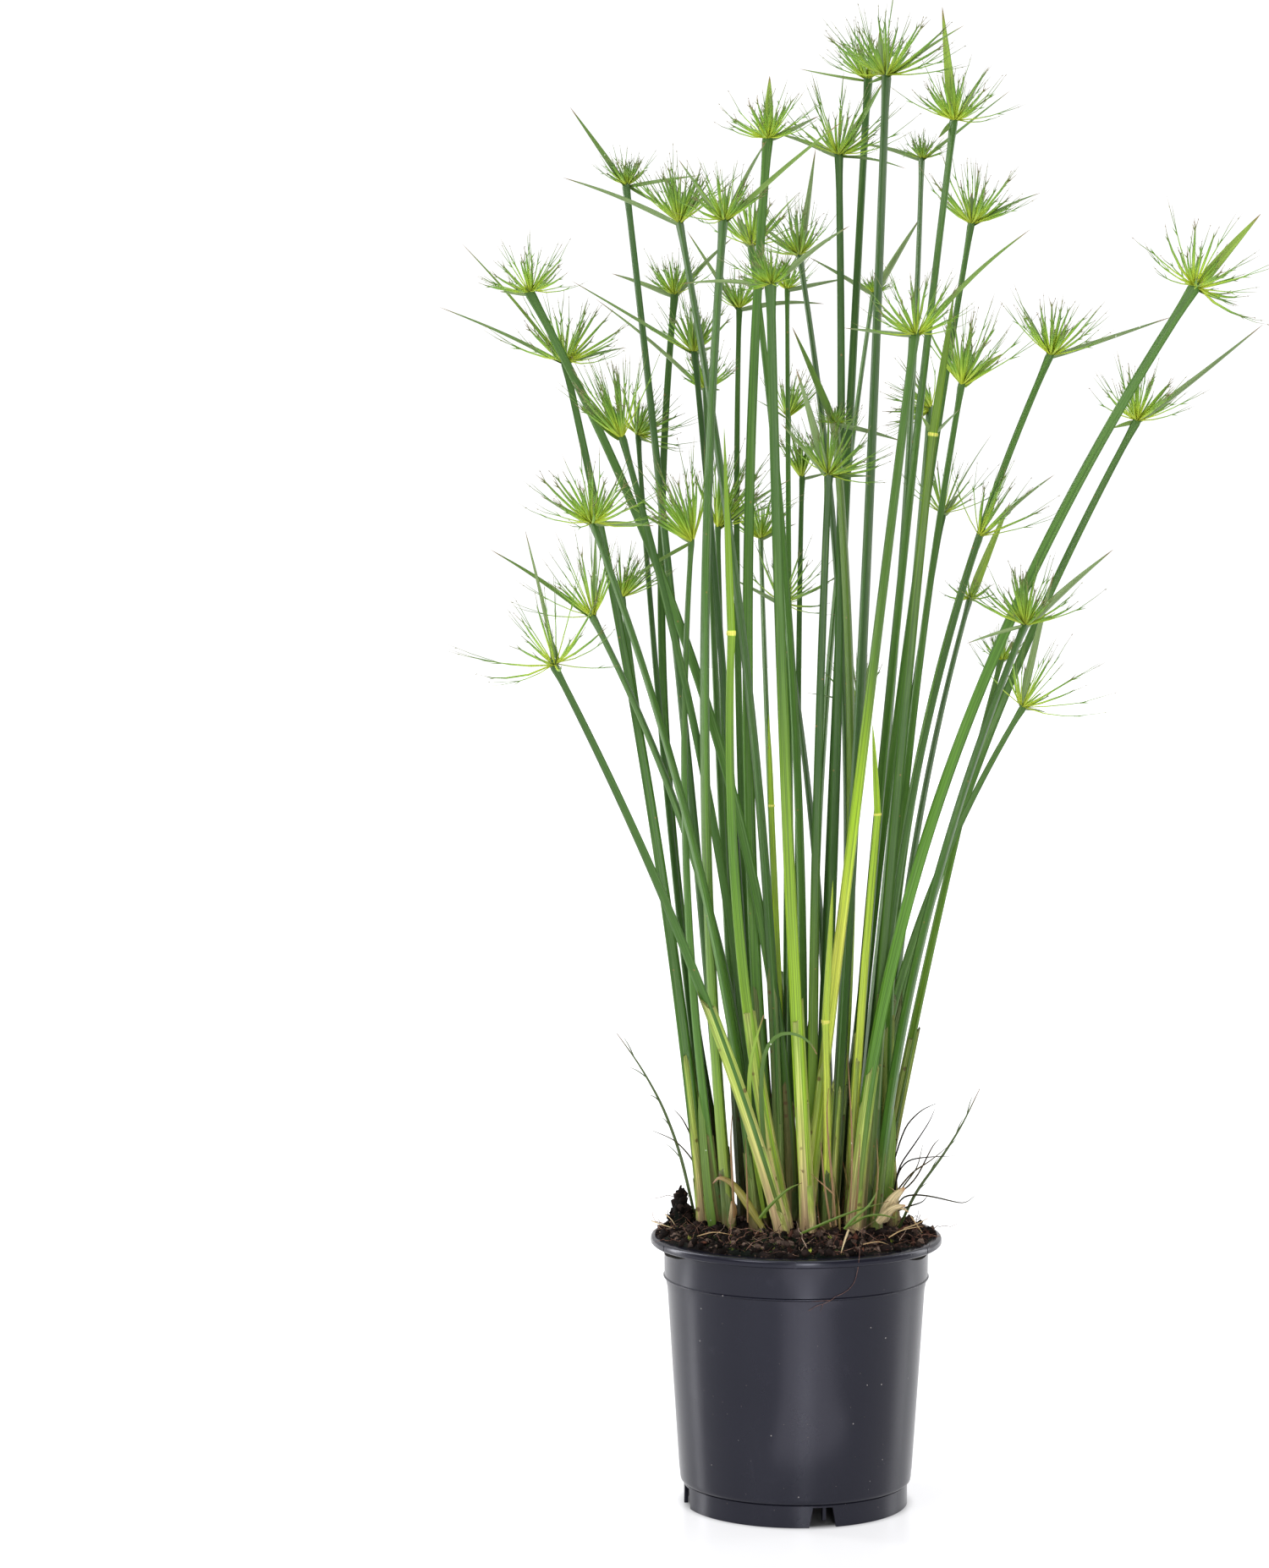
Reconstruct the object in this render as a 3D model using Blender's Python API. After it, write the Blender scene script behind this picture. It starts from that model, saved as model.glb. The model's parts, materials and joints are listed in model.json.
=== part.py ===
"""A papyrus plant in a black nursery pot: pot, peat, a solid for each stalk with its umbel, and loose blades."""

import math

import bmesh
import bpy
import numpy as np
from mathutils import Vector
from mathutils.bvhtree import BVHTree

MM = 0.001

# Row frame: the pot's axis stands off the middle of the whole plant's bounding box, in mm
POT_AXIS_X = -35.0
POT_AXIS_Y = 7.0

# Pot, in mm
POT_SIDES = 40
LIP_RADIUS = 95.0
LIP_TOP = 177.0
LIP_HEIGHT = 5.6
BAND_RADIUS = 86.0
BAND_HEIGHT = 21.0
WALL_TOP_RADIUS = 84.6
WALL_FOOT_RADIUS = 75.6
WALL_THICKNESS = 1.8
SHOULDER_HEIGHT = 21.0
FOOT_RADIUS = 73.2
FOOT_HEIGHT = 15.0
FOOT_INNER_RADIUS = 70.6
FLOOR_TOP = 18.4
FLOOR_UNDER = 16.2
NOTCH_COUNT = 4
NOTCH_FIRST_ANGLE = -76.0
NOTCH_TOP_WIDTH = 13.0
NOTCH_FOOT_WIDTH = 19.0
NOTCH_HEIGHT = 13.0
NOTCH_INSIDE = 8.0
NOTCH_OUTSIDE = 6.0
NOTCH_BELOW = 3.0

# Peat, in mm
PEAT_SECTORS = 40
PEAT_RINGS = (16.0, 32.0, 47.0, 60.0, 71.0, 79.0)
PEAT_EDGE_RADIUS = 83.6
PEAT_EDGE_HEIGHT = 171.5
PEAT_HEAP = 8.5
PEAT_LUMP = 2.6
PEAT_RISE_LEFT = 3.0
PEAT_RISE_BACK = 2.5
CROWN_REACH = (74.0, 52.0)
CROWN_MIDDLE = (2.0, 24.0)
CLOD_AT = (-76.0, 22.0)
CLOD_HEIGHT = 24.0
CLOD_RADIUS = 13.0
FIT_GAP = 0.35

# Stalks: lengths in mm, places along a culm and shares of a length from 0 to 1
FOOT_LEVEL = 178.0
CULM_STEPS = 6
CULM_TOP = 0.992
CULM_FLARE = 1.16
SHEATH_TOP = 0.14
SHEATH_EDGE = 0.02
HEAD_SWELL = 1.55
KNOB_HEIGHT = 7.0
KNOB_SHOULDER = 0.55
KNOB_TAPER = 0.62
CLEARANCE = 0.7
FOOT_LIMIT = 73.0
GOLDEN_TURN = 2.39996

# Parting of the culms: heights in mm at which they keep clear, and how freely they give way sideways
PARTING_LEVELS = (176.0, 940.0, 19.0)
PARTING_TURNS = 260
PARTING_STEP = 1.2
PARTING_SPARE = 0.3
LEANING_GIRTH = 1.10
LOW_PART = 0.2
LOW_GIVE = 0.9
HIGH_GIVE = 0.35
HEAD_ROOM = 14.0
SPEAR_ROOM = 8.0

# Rays and bracts: shares of their full length and turns, tried in this order until one keeps clear
RAY_LENGTHS = (1.0, 0.86, 1.08, 0.93)
RAY_SHARES = (1.0, 0.8, 0.6, 0.42)
RAY_TURNS = (0.0, 0.16, -0.16, 0.34, -0.34, 0.55, -0.55)
RAY_SPREADS = (0.72, 1.0)
INNER_SPREAD = 0.34
BRACT_SHARES = (1.0, 0.82, 0.6)
BRACT_DEPTHS = (0.0, -0.14, 0.14, -0.3, 0.3, -0.5, 0.5, -0.75, 0.75)
BRACT_SAG = 0.06
OWN_FREE = 0.3
OWN_CLEARANCE = 0.15
LEAST_FACING = 0.25
INSIDE_SHARE = 0.3
CULM_FOOT_FREE = 0.5
CULM_HEAD_FREE = 0.96
BLADE_KEEL = 0.34
SPEAR_STEPS = ((0.05, 0.82), (0.45, 0.9), (0.8, 0.55))
YOUNG_EVERY = 5

# Each row is one stalk. foot: where it leaves the peat. head: where its bracts and rays leave the culm.
# bend: how far the culm's middle stands to the right of a straight line. widths: culm at the foot and the head.
# rays: their length, the half-angle they fan to and their lean to the right, in degrees.
# bracts: reach to the right, reach upwards and width of each blade, in mm. spear: a closed shoot's reach.
STALKS = (
    dict(name="stalk_01", foot=(-42, 30), head=(-111, 20, 857), bend=3, widths=(7.4, 4.2),
         rays=(24, 38, 0), bracts=((-37, 52, 4.0), (47, 8, 3.6), (32, -16, 2.2))),
    dict(name="stalk_02", foot=(-4, 11), head=(-167, -60, 785), bend=40, widths=(7.8, 5.0),
         rays=(34, 55, -6), bracts=((-20, 2, 3.0), (18, 22, 2.0))),
    dict(name="stalk_03", foot=(-58, 20), head=(-149, -20, 742), bend=9, widths=(8.4, 4.2),
         rays=(48, 50, 0), bracts=((-81, 37, 3.0), (-66, 77, 2.2), (39, 11, 3.0))),
    dict(name="stalk_04", foot=(-18, 4), head=(-110, -90, 693), bend=13, widths=(7.2, 4.0),
         rays=(52, 26, -20), bracts=((-27, 22, 4.2),)),
    dict(name="stalk_05", foot=(-52, 35), head=(-105, 40, 696), bend=-4, widths=(6.2, 3.2),
         rays=(37, 50, 26), bracts=((8, -3, 2.4),)),
    dict(name="stalk_06", foot=(-19, 1), head=(-127, -100, 640), bend=16, widths=(7.0, 3.8),
         rays=(48, 50, 0), bracts=((-33, 19, 3.2), (38, 0, 3.0))),
    dict(name="stalk_07", foot=(-20, 15), head=(-129, -40, 580), bend=26, widths=(7.0, 3.8),
         rays=(58, 36, -18), bracts=((-66, 44, 3.0), (1, 58, 3.4))),
    dict(name="stalk_08", foot=(-5, -8), head=(-149, -130, 553), bend=10, widths=(8.4, 4.4),
         rays=(56, 62, -18), bracts=((-3, 19, 4.4), (-17, 85, 2.0))),
    dict(name="stalk_09", foot=(-54, 26), head=(-113, 0, 591), bend=-2, widths=(6.0, 3.0),
         rays=(33, 32, 18), bracts=()),
    dict(name="stalk_10", foot=(-45, 40), head=(-82, 60, 788), bend=-24, widths=(7.0, 4.0),
         rays=(29, 38, 0), bracts=((-41, 16, 3.4), (38, 39, 3.2))),
    dict(name="stalk_11", foot=(-24, 18), head=(-66, -30, 748), bend=4, widths=(7.0, 3.8),
         rays=(37, 36, 0), bracts=((-78, 47, 3.0), (2, 29, 4.6), (14, 6, 2.6))),
    dict(name="stalk_12", foot=(-35, 32), head=(-61, 30, 726), bend=-3, widths=(6.4, 3.4),
         rays=(30, 40, 0), bracts=((-71, 60, 2.6), (10, 1, 2.4))),
    dict(name="stalk_13", foot=(-10, 8), head=(-72, -70, 827), bend=15, widths=(7.0, 3.8),
         rays=(44, 36, 0), bracts=((-73, 30, 3.2), (20, 30, 2.4))),
    dict(name="stalk_14", foot=(-42, -2), head=(-45, -120, 826), bend=-14, widths=(7.8, 4.8),
         rays=(36, 46, 0), bracts=((73, 62, 3.8), (-28, 39, 3.0), (26, 50, 2.8))),
    dict(name="stalk_15", foot=(12, 35), head=(-30, 40, 819), bend=12, widths=(7.0, 4.0),
         rays=(40, 42, 2), bracts=((-10, 21, 5.0), (30, 36, 2.6))),
    dict(name="stalk_16", foot=(-12, 14), head=(-20, -50, 881), bend=-16, widths=(8.8, 5.2),
         rays=(37, 46, 0), bracts=((1, 41, 4.8), (32, 16, 3.2))),
    dict(name="stalk_17", foot=(15, 20), head=(25, -20, 873), bend=7, widths=(7.4, 4.2),
         rays=(46, 46, 8), bracts=((-41, 16, 3.2), (29, 49, 5.2), (43, -7, 2.4))),
    dict(name="stalk_18", foot=(14, 38), head=(44, 60, 928), bend=-3, widths=(8.0, 4.8),
         rays=(36, 36, 0), bracts=((-44, 9, 3.0), (16, 34, 2.6))),
    dict(name="stalk_19", foot=(26, 12), head=(54, -60, 919), bend=4, widths=(8.0, 4.8),
         rays=(50, 50, 4), bracts=((-4, 29, 5.2), (49, 33, 3.2), (-11, -3, 2.6))),
    dict(name="stalk_20", foot=(23, 52), head=(82, 120, 881), bend=10, widths=(6.0, 3.2),
         rays=(18, 46, 0), bracts=((-42, 12, 2.8), (59, 47, 3.2))),
    dict(name="stalk_21", foot=(34, 25), head=(99, 0, 896), bend=-5, widths=(7.4, 4.4),
         rays=(38, 46, 6), bracts=((-8, 74, 4.8), (-10, -9, 2.8), (22, 36, 2.6))),
    dict(name="stalk_22", foot=(42, 38), head=(113, 60, 834), bend=-9, widths=(6.6, 3.8),
         rays=(44, 46, 6), bracts=((0, 22, 4.8), (45, 22, 3.2))),
    dict(name="stalk_23", foot=(6, -8), head=(-17, -140, 786), bend=-2, widths=(9.6, 5.4),
         rays=(27, 50, -18), bracts=((48, 37, 3.8), (-55, 2, 2.8))),
    dict(name="stalk_24", foot=(-21, 52), head=(-40, 110, 781), bend=-8, widths=(6.4, 3.2),
         rays=(29, 38, 0), bracts=((-35, 54, 4.2), (57, 5, 3.2))),
    dict(name="stalk_25", foot=(-2, 47), head=(-8, 90, 793), bend=0, widths=(6.0, 3.0),
         rays=(23, 38, 0), bracts=((40, 9, 2.8),)),
    dict(name="stalk_26", foot=(26, 28), head=(1, 10, 811), bend=22, widths=(6.4, 3.4),
         rays=(37, 42, -12), bracts=((10, 70, 3.6), (-22, 20, 2.2))),
    dict(name="stalk_27", foot=(12, 56), head=(50, 130, 792), bend=-14, widths=(5.6, 2.8),
         rays=(15, 44, 0), bracts=((-43, 26, 2.8), (32, 53, 3.8))),
    dict(name="stalk_28", foot=(10, -2), head=(73, -110, 756), bend=-1, widths=(8.6, 5.4),
         rays=(41, 44, 0), bracts=((-44, 6, 2.8), (70, 66, 3.4))),
    dict(name="stalk_29", foot=(50, 30), head=(105, 20, 728), bend=-11, widths=(7.0, 3.8),
         rays=(56, 32, 12), bracts=((26, 22, 3.4),)),
    dict(name="stalk_30", foot=(42, 8), head=(86, -70, 696), bend=-3, widths=(8.0, 4.8),
         rays=None, bracts=((17, 17, 3.0), (-7, 13, 2.6)), spear=(13, 91, 5.6)),
    dict(name="stalk_31", foot=(43, 47), head=(96, 90, 644), bend=-8, widths=(5.8, 3.0),
         rays=(42, 44, 4), bracts=((11, 15, 4.4), (32, 55, 2.6))),
    dict(name="stalk_32", foot=(51, 18), head=(115, -30, 631), bend=-19, widths=(6.2, 3.2),
         rays=(54, 32, 30), bracts=((48, 41, 2.8),)),
    dict(name="stalk_33", foot=(54, 40), head=(112, 60, 588), bend=-15, widths=(6.0, 3.2),
         rays=(22, 70, 0), bracts=((27, 66, 4.2),)),
    dict(name="stalk_34", foot=(43, 2), head=(142, -70, 576), bend=-16, widths=(7.2, 4.2),
         rays=(47, 44, 4), bracts=((55, 49, 4.6), (-36, -10, 2.0))),
    dict(name="stalk_35", foot=(54, 20), head=(159, -20, 746), bend=-38, widths=(7.6, 4.4),
         rays=(42, 42, 12), bracts=((77, 26, 3.2), (-20, 37, 2.4))),
    dict(name="stalk_36", foot=(38, 2), head=(244, -60, 787), bend=-46, widths=(9.4, 6.0),
         rays=(47, 72, 34), bracts=((41, 47, 4.8), (28, -10, 2.6))),
    dict(name="stalk_37", foot=(42, 32), head=(219, 30, 705), bend=-24, widths=(7.4, 4.2),
         rays=(41, 42, 10), bracts=((82, 64, 3.4), (-15, -3, 2.6))),
    dict(name="stalk_38", foot=(41, 28), head=(145, 10, 520), bend=-25, widths=(6.6, 3.8),
         rays=(52, 44, 28), bracts=((21, 89, 3.8), (17, -2, 1.8))),
    dict(name="stalk_39", foot=(23, 40), head=(40, 60, 518), bend=0, widths=(5.4, 2.8),
         rays=(42, 28, -3), bracts=((14, 49, 2.2), (-35, 10, 1.8))),
    dict(name="stalk_40", foot=(20, 43), head=(-10, 70, 585), bend=9, widths=(6.2, 3.2),
         rays=(48, 50, 26), bracts=((-35, 19, 2.6),)),
    dict(name="stalk_41", foot=(-2, 56), head=(-25, 130, 627), bend=-2, widths=(5.6, 2.8),
         rays=(37, 40, -6), bracts=((24, 12, 2.0),)),
    dict(name="stalk_42", foot=(-50, 12), head=(-67, -60, 628), bend=-12, widths=(6.8, 3.4),
         rays=(56, 28, -24), bracts=((-22, 15, 3.0), (-44, -25, 2.2))),
    dict(name="stalk_43", foot=(-27, 44), head=(-53, 80, 635), bend=-4, widths=(6.6, 3.2),
         rays=(57, 32, 24), bracts=((48, 34, 4.2),)),
    dict(name="stalk_44", foot=(9, 10), head=(19, -60, 670), bend=-3, widths=(7.2, 4.2),
         rays=(44, 44, 22), bracts=((-30, 34, 3.6), (-21, 68, 4.6), (27, 1, 2.8))),
    dict(name="stalk_45", foot=(1, 49), head=(2, 100, 668), bend=-3, widths=(5.8, 3.2),
         rays=(35, 22, -4), bracts=((20, 6, 2.0),)),
    dict(name="stalk_46", foot=(-7, 61), head=(-7, 150, 709), bend=0, widths=(5.6, 2.8),
         rays=(35, 28, 14), bracts=((-22, 14, 2.0),)),
    dict(name="stalk_47", foot=(37, 58), head=(89, 140, 714), bend=2, widths=(7.0, 4.4),
         rays=(34, 40, -66), bracts=((-10, 26, 2.2),)),
    dict(name="stalk_48", foot=(29, 20), head=(24, -20, 703), bend=11, widths=(7.6, 5.0),
         rays=(14, 84, 0), bracts=((43, -10, 2.8), (-28, 63, 4.4))),
    dict(name="stalk_49", foot=(54, 44), head=(136, 100, 546), bend=-4, widths=(7.4, 3.6),
         rays=(22, 42, 10), bracts=((12, 10, 2.0),)),
    dict(name="young_stalk_1", foot=(-12, 1), head=(-43, -100, 572), bend=-12, widths=(8.8, 4.6),
         rays=None, bracts=(), spear=(-5, 129, 5.2)),
    dict(name="young_stalk_2", foot=(-6, 26), head=(-20, -30, 459), bend=0, widths=(6.0, 3.4),
         rays=None, bracts=(), spear=(-2, 60, 3.8)),
    dict(name="young_stalk_3", foot=(34, 12), head=(49, -60, 456), bend=2, widths=(6.6, 4.4),
         rays=None, bracts=(), spear=(-3, 58, 4.6)),
    dict(name="young_stalk_4", foot=(15, 3), head=(20, -45, 322), bend=0, widths=(6.4, 4.6),
         rays=None, bracts=(), spear=(5, 92, 5.2)),
)

# Loose blades: the points of the middle line and the widths along it, in mm
CURLED_LEAF = ((-19, -14, 179), (-31, -16, 199), (-41, -16, 213), (-50, -14, 217), (-54, -12, 212))
CURLED_LEAF_WIDTHS = (2.4, 4.6, 3.8, 2.6, 1.6)
LEFT_GRASS = ((-66, 26, 184), (-76, 24, 225), (-88, 22, 258), (-103, 20, 285), (-118, 18, 306))
RIGHT_GRASS = ((66, 12, 180), (78, 8, 204), (95, 2, 228), (108, -2, 250), (119, -4, 274))
GRASS_WIDTHS = (2.4, 2.2, 1.8, 1.4, 0.9)

# Colours of the parts, linear, with roughness
COLOURS = {
    "pot_black": ((0.030, 0.031, 0.036), 0.42),
    "peat": ((0.026, 0.016, 0.010), 0.95),
    "culm_green": ((0.085, 0.190, 0.042), 0.48),
    "young_green": ((0.250, 0.420, 0.035), 0.45),
    "dry_blade": ((0.420, 0.330, 0.150), 0.70),
    "grass": ((0.075, 0.120, 0.035), 0.55),
}


def clear_scene():
    for item in list(bpy.data.objects):
        bpy.data.objects.remove(item, do_unlink=True)


def material(name):
    found = bpy.data.materials.get(name)
    if found:
        return found
    colour, roughness = COLOURS[name]
    made = bpy.data.materials.new(name)
    made.use_nodes = True
    shader = made.node_tree.nodes["Principled BSDF"]
    shader.inputs["Base Color"].default_value = (*colour, 1.0)
    shader.inputs["Roughness"].default_value = roughness
    shader.inputs["Metallic"].default_value = 0.0
    made.diffuse_color = (*colour, 1.0)
    return made


def add_object(name, points, faces, material_name):
    """An object from points in mm about the pot's axis, closed and facing outwards."""
    mesh = bpy.data.meshes.new(name)
    shift = Vector((POT_AXIS_X, POT_AXIS_Y, 0.0))
    mesh.from_pydata([(Vector(p) + shift) * MM for p in points], [], faces)
    shape = bmesh.new()
    shape.from_mesh(mesh)
    bmesh.ops.recalc_face_normals(shape, faces=shape.faces)
    if shape.calc_volume(signed=True) < 0:
        bmesh.ops.reverse_faces(shape, faces=shape.faces)
    bmesh.ops.triangulate(shape, faces=[f for f in shape.faces if len(f.verts) > 3])
    shape.to_mesh(mesh)
    shape.free()
    mesh.materials.append(material(material_name))
    made = bpy.data.objects.new(name, mesh)
    bpy.context.scene.collection.objects.link(made)
    return made


def ring_points(radius, height, sides):
    turn = 2 * math.pi / sides
    return [(radius * math.cos(i * turn), radius * math.sin(i * turn), height) for i in range(sides)]


def lathe(profile, sides):
    """A closed body turned round the vertical axis. The profile starts and ends on the axis."""
    points = [(0.0, 0.0, profile[0][1])]
    for radius, height in profile[1:-1]:
        points += ring_points(radius, height, sides)
    points.append((0.0, 0.0, profile[-1][1]))
    rings = len(profile) - 2
    faces = []
    for i in range(sides):
        j = (i + 1) % sides
        faces.append((0, 1 + i, 1 + j))
        for k in range(rings - 1):
            low, high = 1 + k * sides, 1 + (k + 1) * sides
            faces.append((low + i, high + i, high + j, low + j))
        last = 1 + (rings - 1) * sides
        faces.append((last + i, len(points) - 1, last + j))
    return points, faces


def pot_profile():
    lip_foot = LIP_TOP - LIP_HEIGHT
    band_foot = lip_foot - BAND_HEIGHT
    inner_band = BAND_RADIUS - WALL_THICKNESS
    inner_foot = WALL_FOOT_RADIUS - WALL_THICKNESS
    return (
        (0.0, FLOOR_UNDER),
        (FOOT_INNER_RADIUS, FLOOR_UNDER),
        (FOOT_INNER_RADIUS, 0.0),
        (FOOT_RADIUS, 0.0),
        (FOOT_RADIUS, FOOT_HEIGHT),
        (FOOT_RADIUS + 1.5, FOOT_HEIGHT + 1.6),
        (WALL_FOOT_RADIUS, SHOULDER_HEIGHT),
        (WALL_TOP_RADIUS, band_foot - 0.6),
        (BAND_RADIUS, band_foot + 0.6),
        (BAND_RADIUS + 0.2, lip_foot),
        (LIP_RADIUS - 0.8, lip_foot + 0.4),
        (LIP_RADIUS, lip_foot + 1.8),
        (LIP_RADIUS - 0.3, LIP_TOP - 1.2),
        (LIP_RADIUS - 1.8, LIP_TOP),
        (inner_band + 1.0, LIP_TOP - 0.6),
        (inner_band, LIP_TOP - 2.4),
        (inner_foot, FLOOR_TOP + 2.0),
        (inner_foot - 1.5, FLOOR_TOP),
        (0.0, FLOOR_TOP),
    )


def notch_cutter(angle):
    """A wedge-sided block that leaves one drain notch in the foot ring."""
    top, foot = NOTCH_TOP_WIDTH / 2, NOTCH_FOOT_WIDTH / 2
    near, far = FOOT_INNER_RADIUS - NOTCH_INSIDE, FOOT_RADIUS + NOTCH_OUTSIDE
    corners = ((-foot, -NOTCH_BELOW), (foot, -NOTCH_BELOW), (top, NOTCH_HEIGHT), (-top, NOTCH_HEIGHT))
    out = Vector((math.cos(angle), math.sin(angle), 0.0))
    across = Vector((-math.sin(angle), math.cos(angle), 0.0))
    points = [out * r + across * w + Vector((0, 0, z)) for r in (near, far) for w, z in corners]
    faces = ((3, 2, 1, 0), (4, 5, 6, 7), (0, 1, 5, 4), (1, 2, 6, 5), (2, 3, 7, 6), (3, 0, 4, 7))
    cutter = add_object("notch_cutter", points, faces, "pot_black")
    cutter.hide_render = True
    cutter.display_type = "WIRE"
    return cutter


def make_pot():
    points, faces = lathe(pot_profile(), POT_SIDES)
    pot = add_object("pot", points, faces, "pot_black")
    for k in range(NOTCH_COUNT):
        angle = math.radians(NOTCH_FIRST_ANGLE + 360.0 / NOTCH_COUNT * k)
        cut = pot.modifiers.new("notch", "BOOLEAN")
        cut.operation = "DIFFERENCE"
        cut.solver = "EXACT"
        cut.object = notch_cutter(angle)
    return pot


def peat_height(x, y):
    """The peat's top: heaped under the crown, lumpy outside it, with one clod standing up at the left."""
    reach = min(1.0, math.hypot(x, y) / PEAT_EDGE_RADIUS)
    height = PEAT_EDGE_HEIGHT + PEAT_HEAP * (1.0 - reach**3)
    height += PEAT_RISE_LEFT * max(0.0, -x / PEAT_EDGE_RADIUS)
    height += PEAT_RISE_BACK * max(0.0, y / PEAT_EDGE_RADIUS)
    crown = math.hypot((x - CROWN_MIDDLE[0]) / CROWN_REACH[0], (y - CROWN_MIDDLE[1]) / CROWN_REACH[1])
    lumps = math.sin(x * 0.31 + 1.3) * math.cos(y * 0.27 - 0.6) + 0.6 * math.sin(x * 0.13 - y * 0.38)
    height += PEAT_LUMP * lumps * min(1.0, max(0.0, (crown - 0.9) / 0.3))
    clod = math.hypot(x - CLOD_AT[0], y - CLOD_AT[1])
    return height + max(0.0, CLOD_HEIGHT * (1.0 - clod / CLOD_RADIUS))


def make_peat():
    points = [(0.0, 0.0, peat_height(0.0, 0.0))]
    for radius in PEAT_RINGS + (PEAT_EDGE_RADIUS,):
        for x, y, _ in ring_points(radius, 0.0, PEAT_SECTORS):
            points.append((x, y, peat_height(x, y)))
    inner_foot = WALL_FOOT_RADIUS - WALL_THICKNESS
    bottom = ((inner_foot - 0.5, FLOOR_TOP + 2.6), (inner_foot - 2.6, FLOOR_TOP + FIT_GAP))
    for radius, height in bottom:
        points += ring_points(radius, height, PEAT_SECTORS)
    points.append((0.0, 0.0, FLOOR_TOP + FIT_GAP))
    faces = []
    rings = len(PEAT_RINGS) + 1 + len(bottom)
    for i in range(PEAT_SECTORS):
        j = (i + 1) % PEAT_SECTORS
        faces.append((0, 1 + i, 1 + j))
        for k in range(rings - 1):
            inner, outer = 1 + k * PEAT_SECTORS, 1 + (k + 1) * PEAT_SECTORS
            faces.append((inner + i, outer + i, outer + j, inner + j))
        last = 1 + (rings - 1) * PEAT_SECTORS
        faces.append((last + i, len(points) - 1, last + j))
    return add_object("peat", points, faces, "peat")


def surface_under(tree, x, y):
    """The peat's height in mm at a place about the pot's axis."""
    start = Vector(((x + POT_AXIS_X) * MM, (y + POT_AXIS_Y) * MM, 1.0))
    hit = tree.ray_cast(start, Vector((0.0, 0.0, -1.0)))[0]
    return hit.z / MM if hit else PEAT_EDGE_HEIGHT


def radius_of(width):
    """The corner radius of a three-sided culm that looks this wide."""
    return width / 1.65


def bezier(curve, t):
    foot, middle, head = curve
    return foot * (1 - t) ** 2 + middle * 2 * t * (1 - t) + head * t**2


def culm_radius(row, t):
    low, high = radius_of(row["widths"][0]), radius_of(row["widths"][1])
    radius = low + (high - low) * t
    if t < SHEATH_TOP:
        radius *= CULM_FLARE
    return radius


def first_curves():
    """Each culm as a quadratic curve in mm: foot, middle control point, head."""
    curves = []
    for row in STALKS:
        foot = np.array((*row["foot"], FOOT_LEVEL), float)
        head = np.array(row["head"], float)
        middle = (foot + head) / 2
        middle[0] += 2 * row["bend"]
        curves.append([foot, middle, head])
    return np.array(curves)


def part_the_culms(curves):
    """Culms that would touch at some height push each other aside, mostly in depth."""
    levels = np.arange(*PARTING_LEVELS)
    steps = np.linspace(0.0, 1.0, 33)
    basis = np.array(((1 - steps) ** 2, 2 * steps * (1 - steps), steps**2))
    size = np.array([[culm_radius(row, t) for t in steps] for row in STALKS])
    size[:, -1] *= HEAD_SWELL
    apart_already = np.eye(len(curves)) * 1e6
    spears = [row.get("spear", (0.0, HEAD_ROOM - SPEAR_ROOM)) for row in STALKS]
    spear_slope = np.array([spear[0] / spear[1] for spear in spears])
    top = np.array([spear[1] + SPEAR_ROOM for spear in spears])
    for _ in range(PARTING_TURNS):
        along = np.einsum("kt,ckx->ctx", basis, curves)
        t = np.array([np.interp(levels, z, steps) for z in along[:, :, 2]]).T
        radii = np.array([np.interp(t[:, i], steps, size[i]) for i in range(len(curves))]).T
        above = levels[:, None] - curves[None, :, 2, 2]
        present = (levels[:, None] > curves[None, :, 0, 2] - PARTING_LEVELS[2]) & (above < top)
        shares = np.stack(((1 - t) ** 2, 2 * t * (1 - t), t**2), axis=2)
        spots = np.einsum("lck,ckx->lcx", shares, curves[:, :, :2])
        spots[:, :, 0] += np.clip(above, 0.0, top) * spear_slope
        away = spots[:, :, None] - spots[:, None]
        distance = np.linalg.norm(away, axis=3) + apart_already
        need = (radii[:, :, None] + radii[:, None]) * LEANING_GIRTH + CLEARANCE + PARTING_SPARE
        short = np.maximum(0.0, need - distance) * present[:, :, None] * present[:, None]
        move = 0.5 * (away / np.maximum(distance, 0.05)[..., None] * short[..., None]).sum(axis=2)
        move[:, :, 0] *= np.where(t < LOW_PART, LOW_GIVE, HIGH_GIVE)
        touched = (short.max(axis=2) > 0)[..., None]
        push = (shares[..., None] * move[:, :, None]).sum(axis=0)
        weight = (shares * touched).sum(axis=0)[..., None]
        curves[:, :, :2] += PARTING_STEP * push / np.maximum(weight, 0.5)
        out = np.linalg.norm(curves[:, 0, :2], axis=1)[:, None]
        curves[:, 0, :2] *= np.minimum(1.0, FOOT_LIMIT / out)
    return curves


def stand_on_peat(curves, tree):
    """Puts each culm's foot a fitting gap above the peat under it."""
    for row, curve in zip(STALKS, curves):
        radius = culm_radius(row, 0.0)
        around = ring_points(radius, 0.0, 6) + [(0.0, 0.0, 0.0)]
        spots = [surface_under(tree, curve[0][0] + x, curve[0][1] + y) for x, y, _ in around]
        curve[0][2] = max(spots) + FIT_GAP
    return curves


def segment_distances(start, end, starts, ends):
    """The least distances between one straight piece and many, with the place along each."""
    u, v = end - start, ends - starts
    w = start - starts
    a, c = u @ u, np.einsum("ij,ij->i", v, v) + 1e-9
    b, d, e = v @ u, w @ u, np.einsum("ij,ij->i", v, w)
    bottom = a * c - b * b
    s = np.clip(np.where(bottom > 1e-9, (b * e - c * d) / np.maximum(bottom, 1e-9), 0.0), 0.0, 1.0)
    t = np.clip((b * s + e) / c, 0.0, 1.0)
    s = np.clip((b * t - d) / a, 0.0, 1.0)
    gap = (start + s[:, None] * u) - (starts + t[:, None] * v)
    return np.linalg.norm(gap, axis=1), s, t


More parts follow.
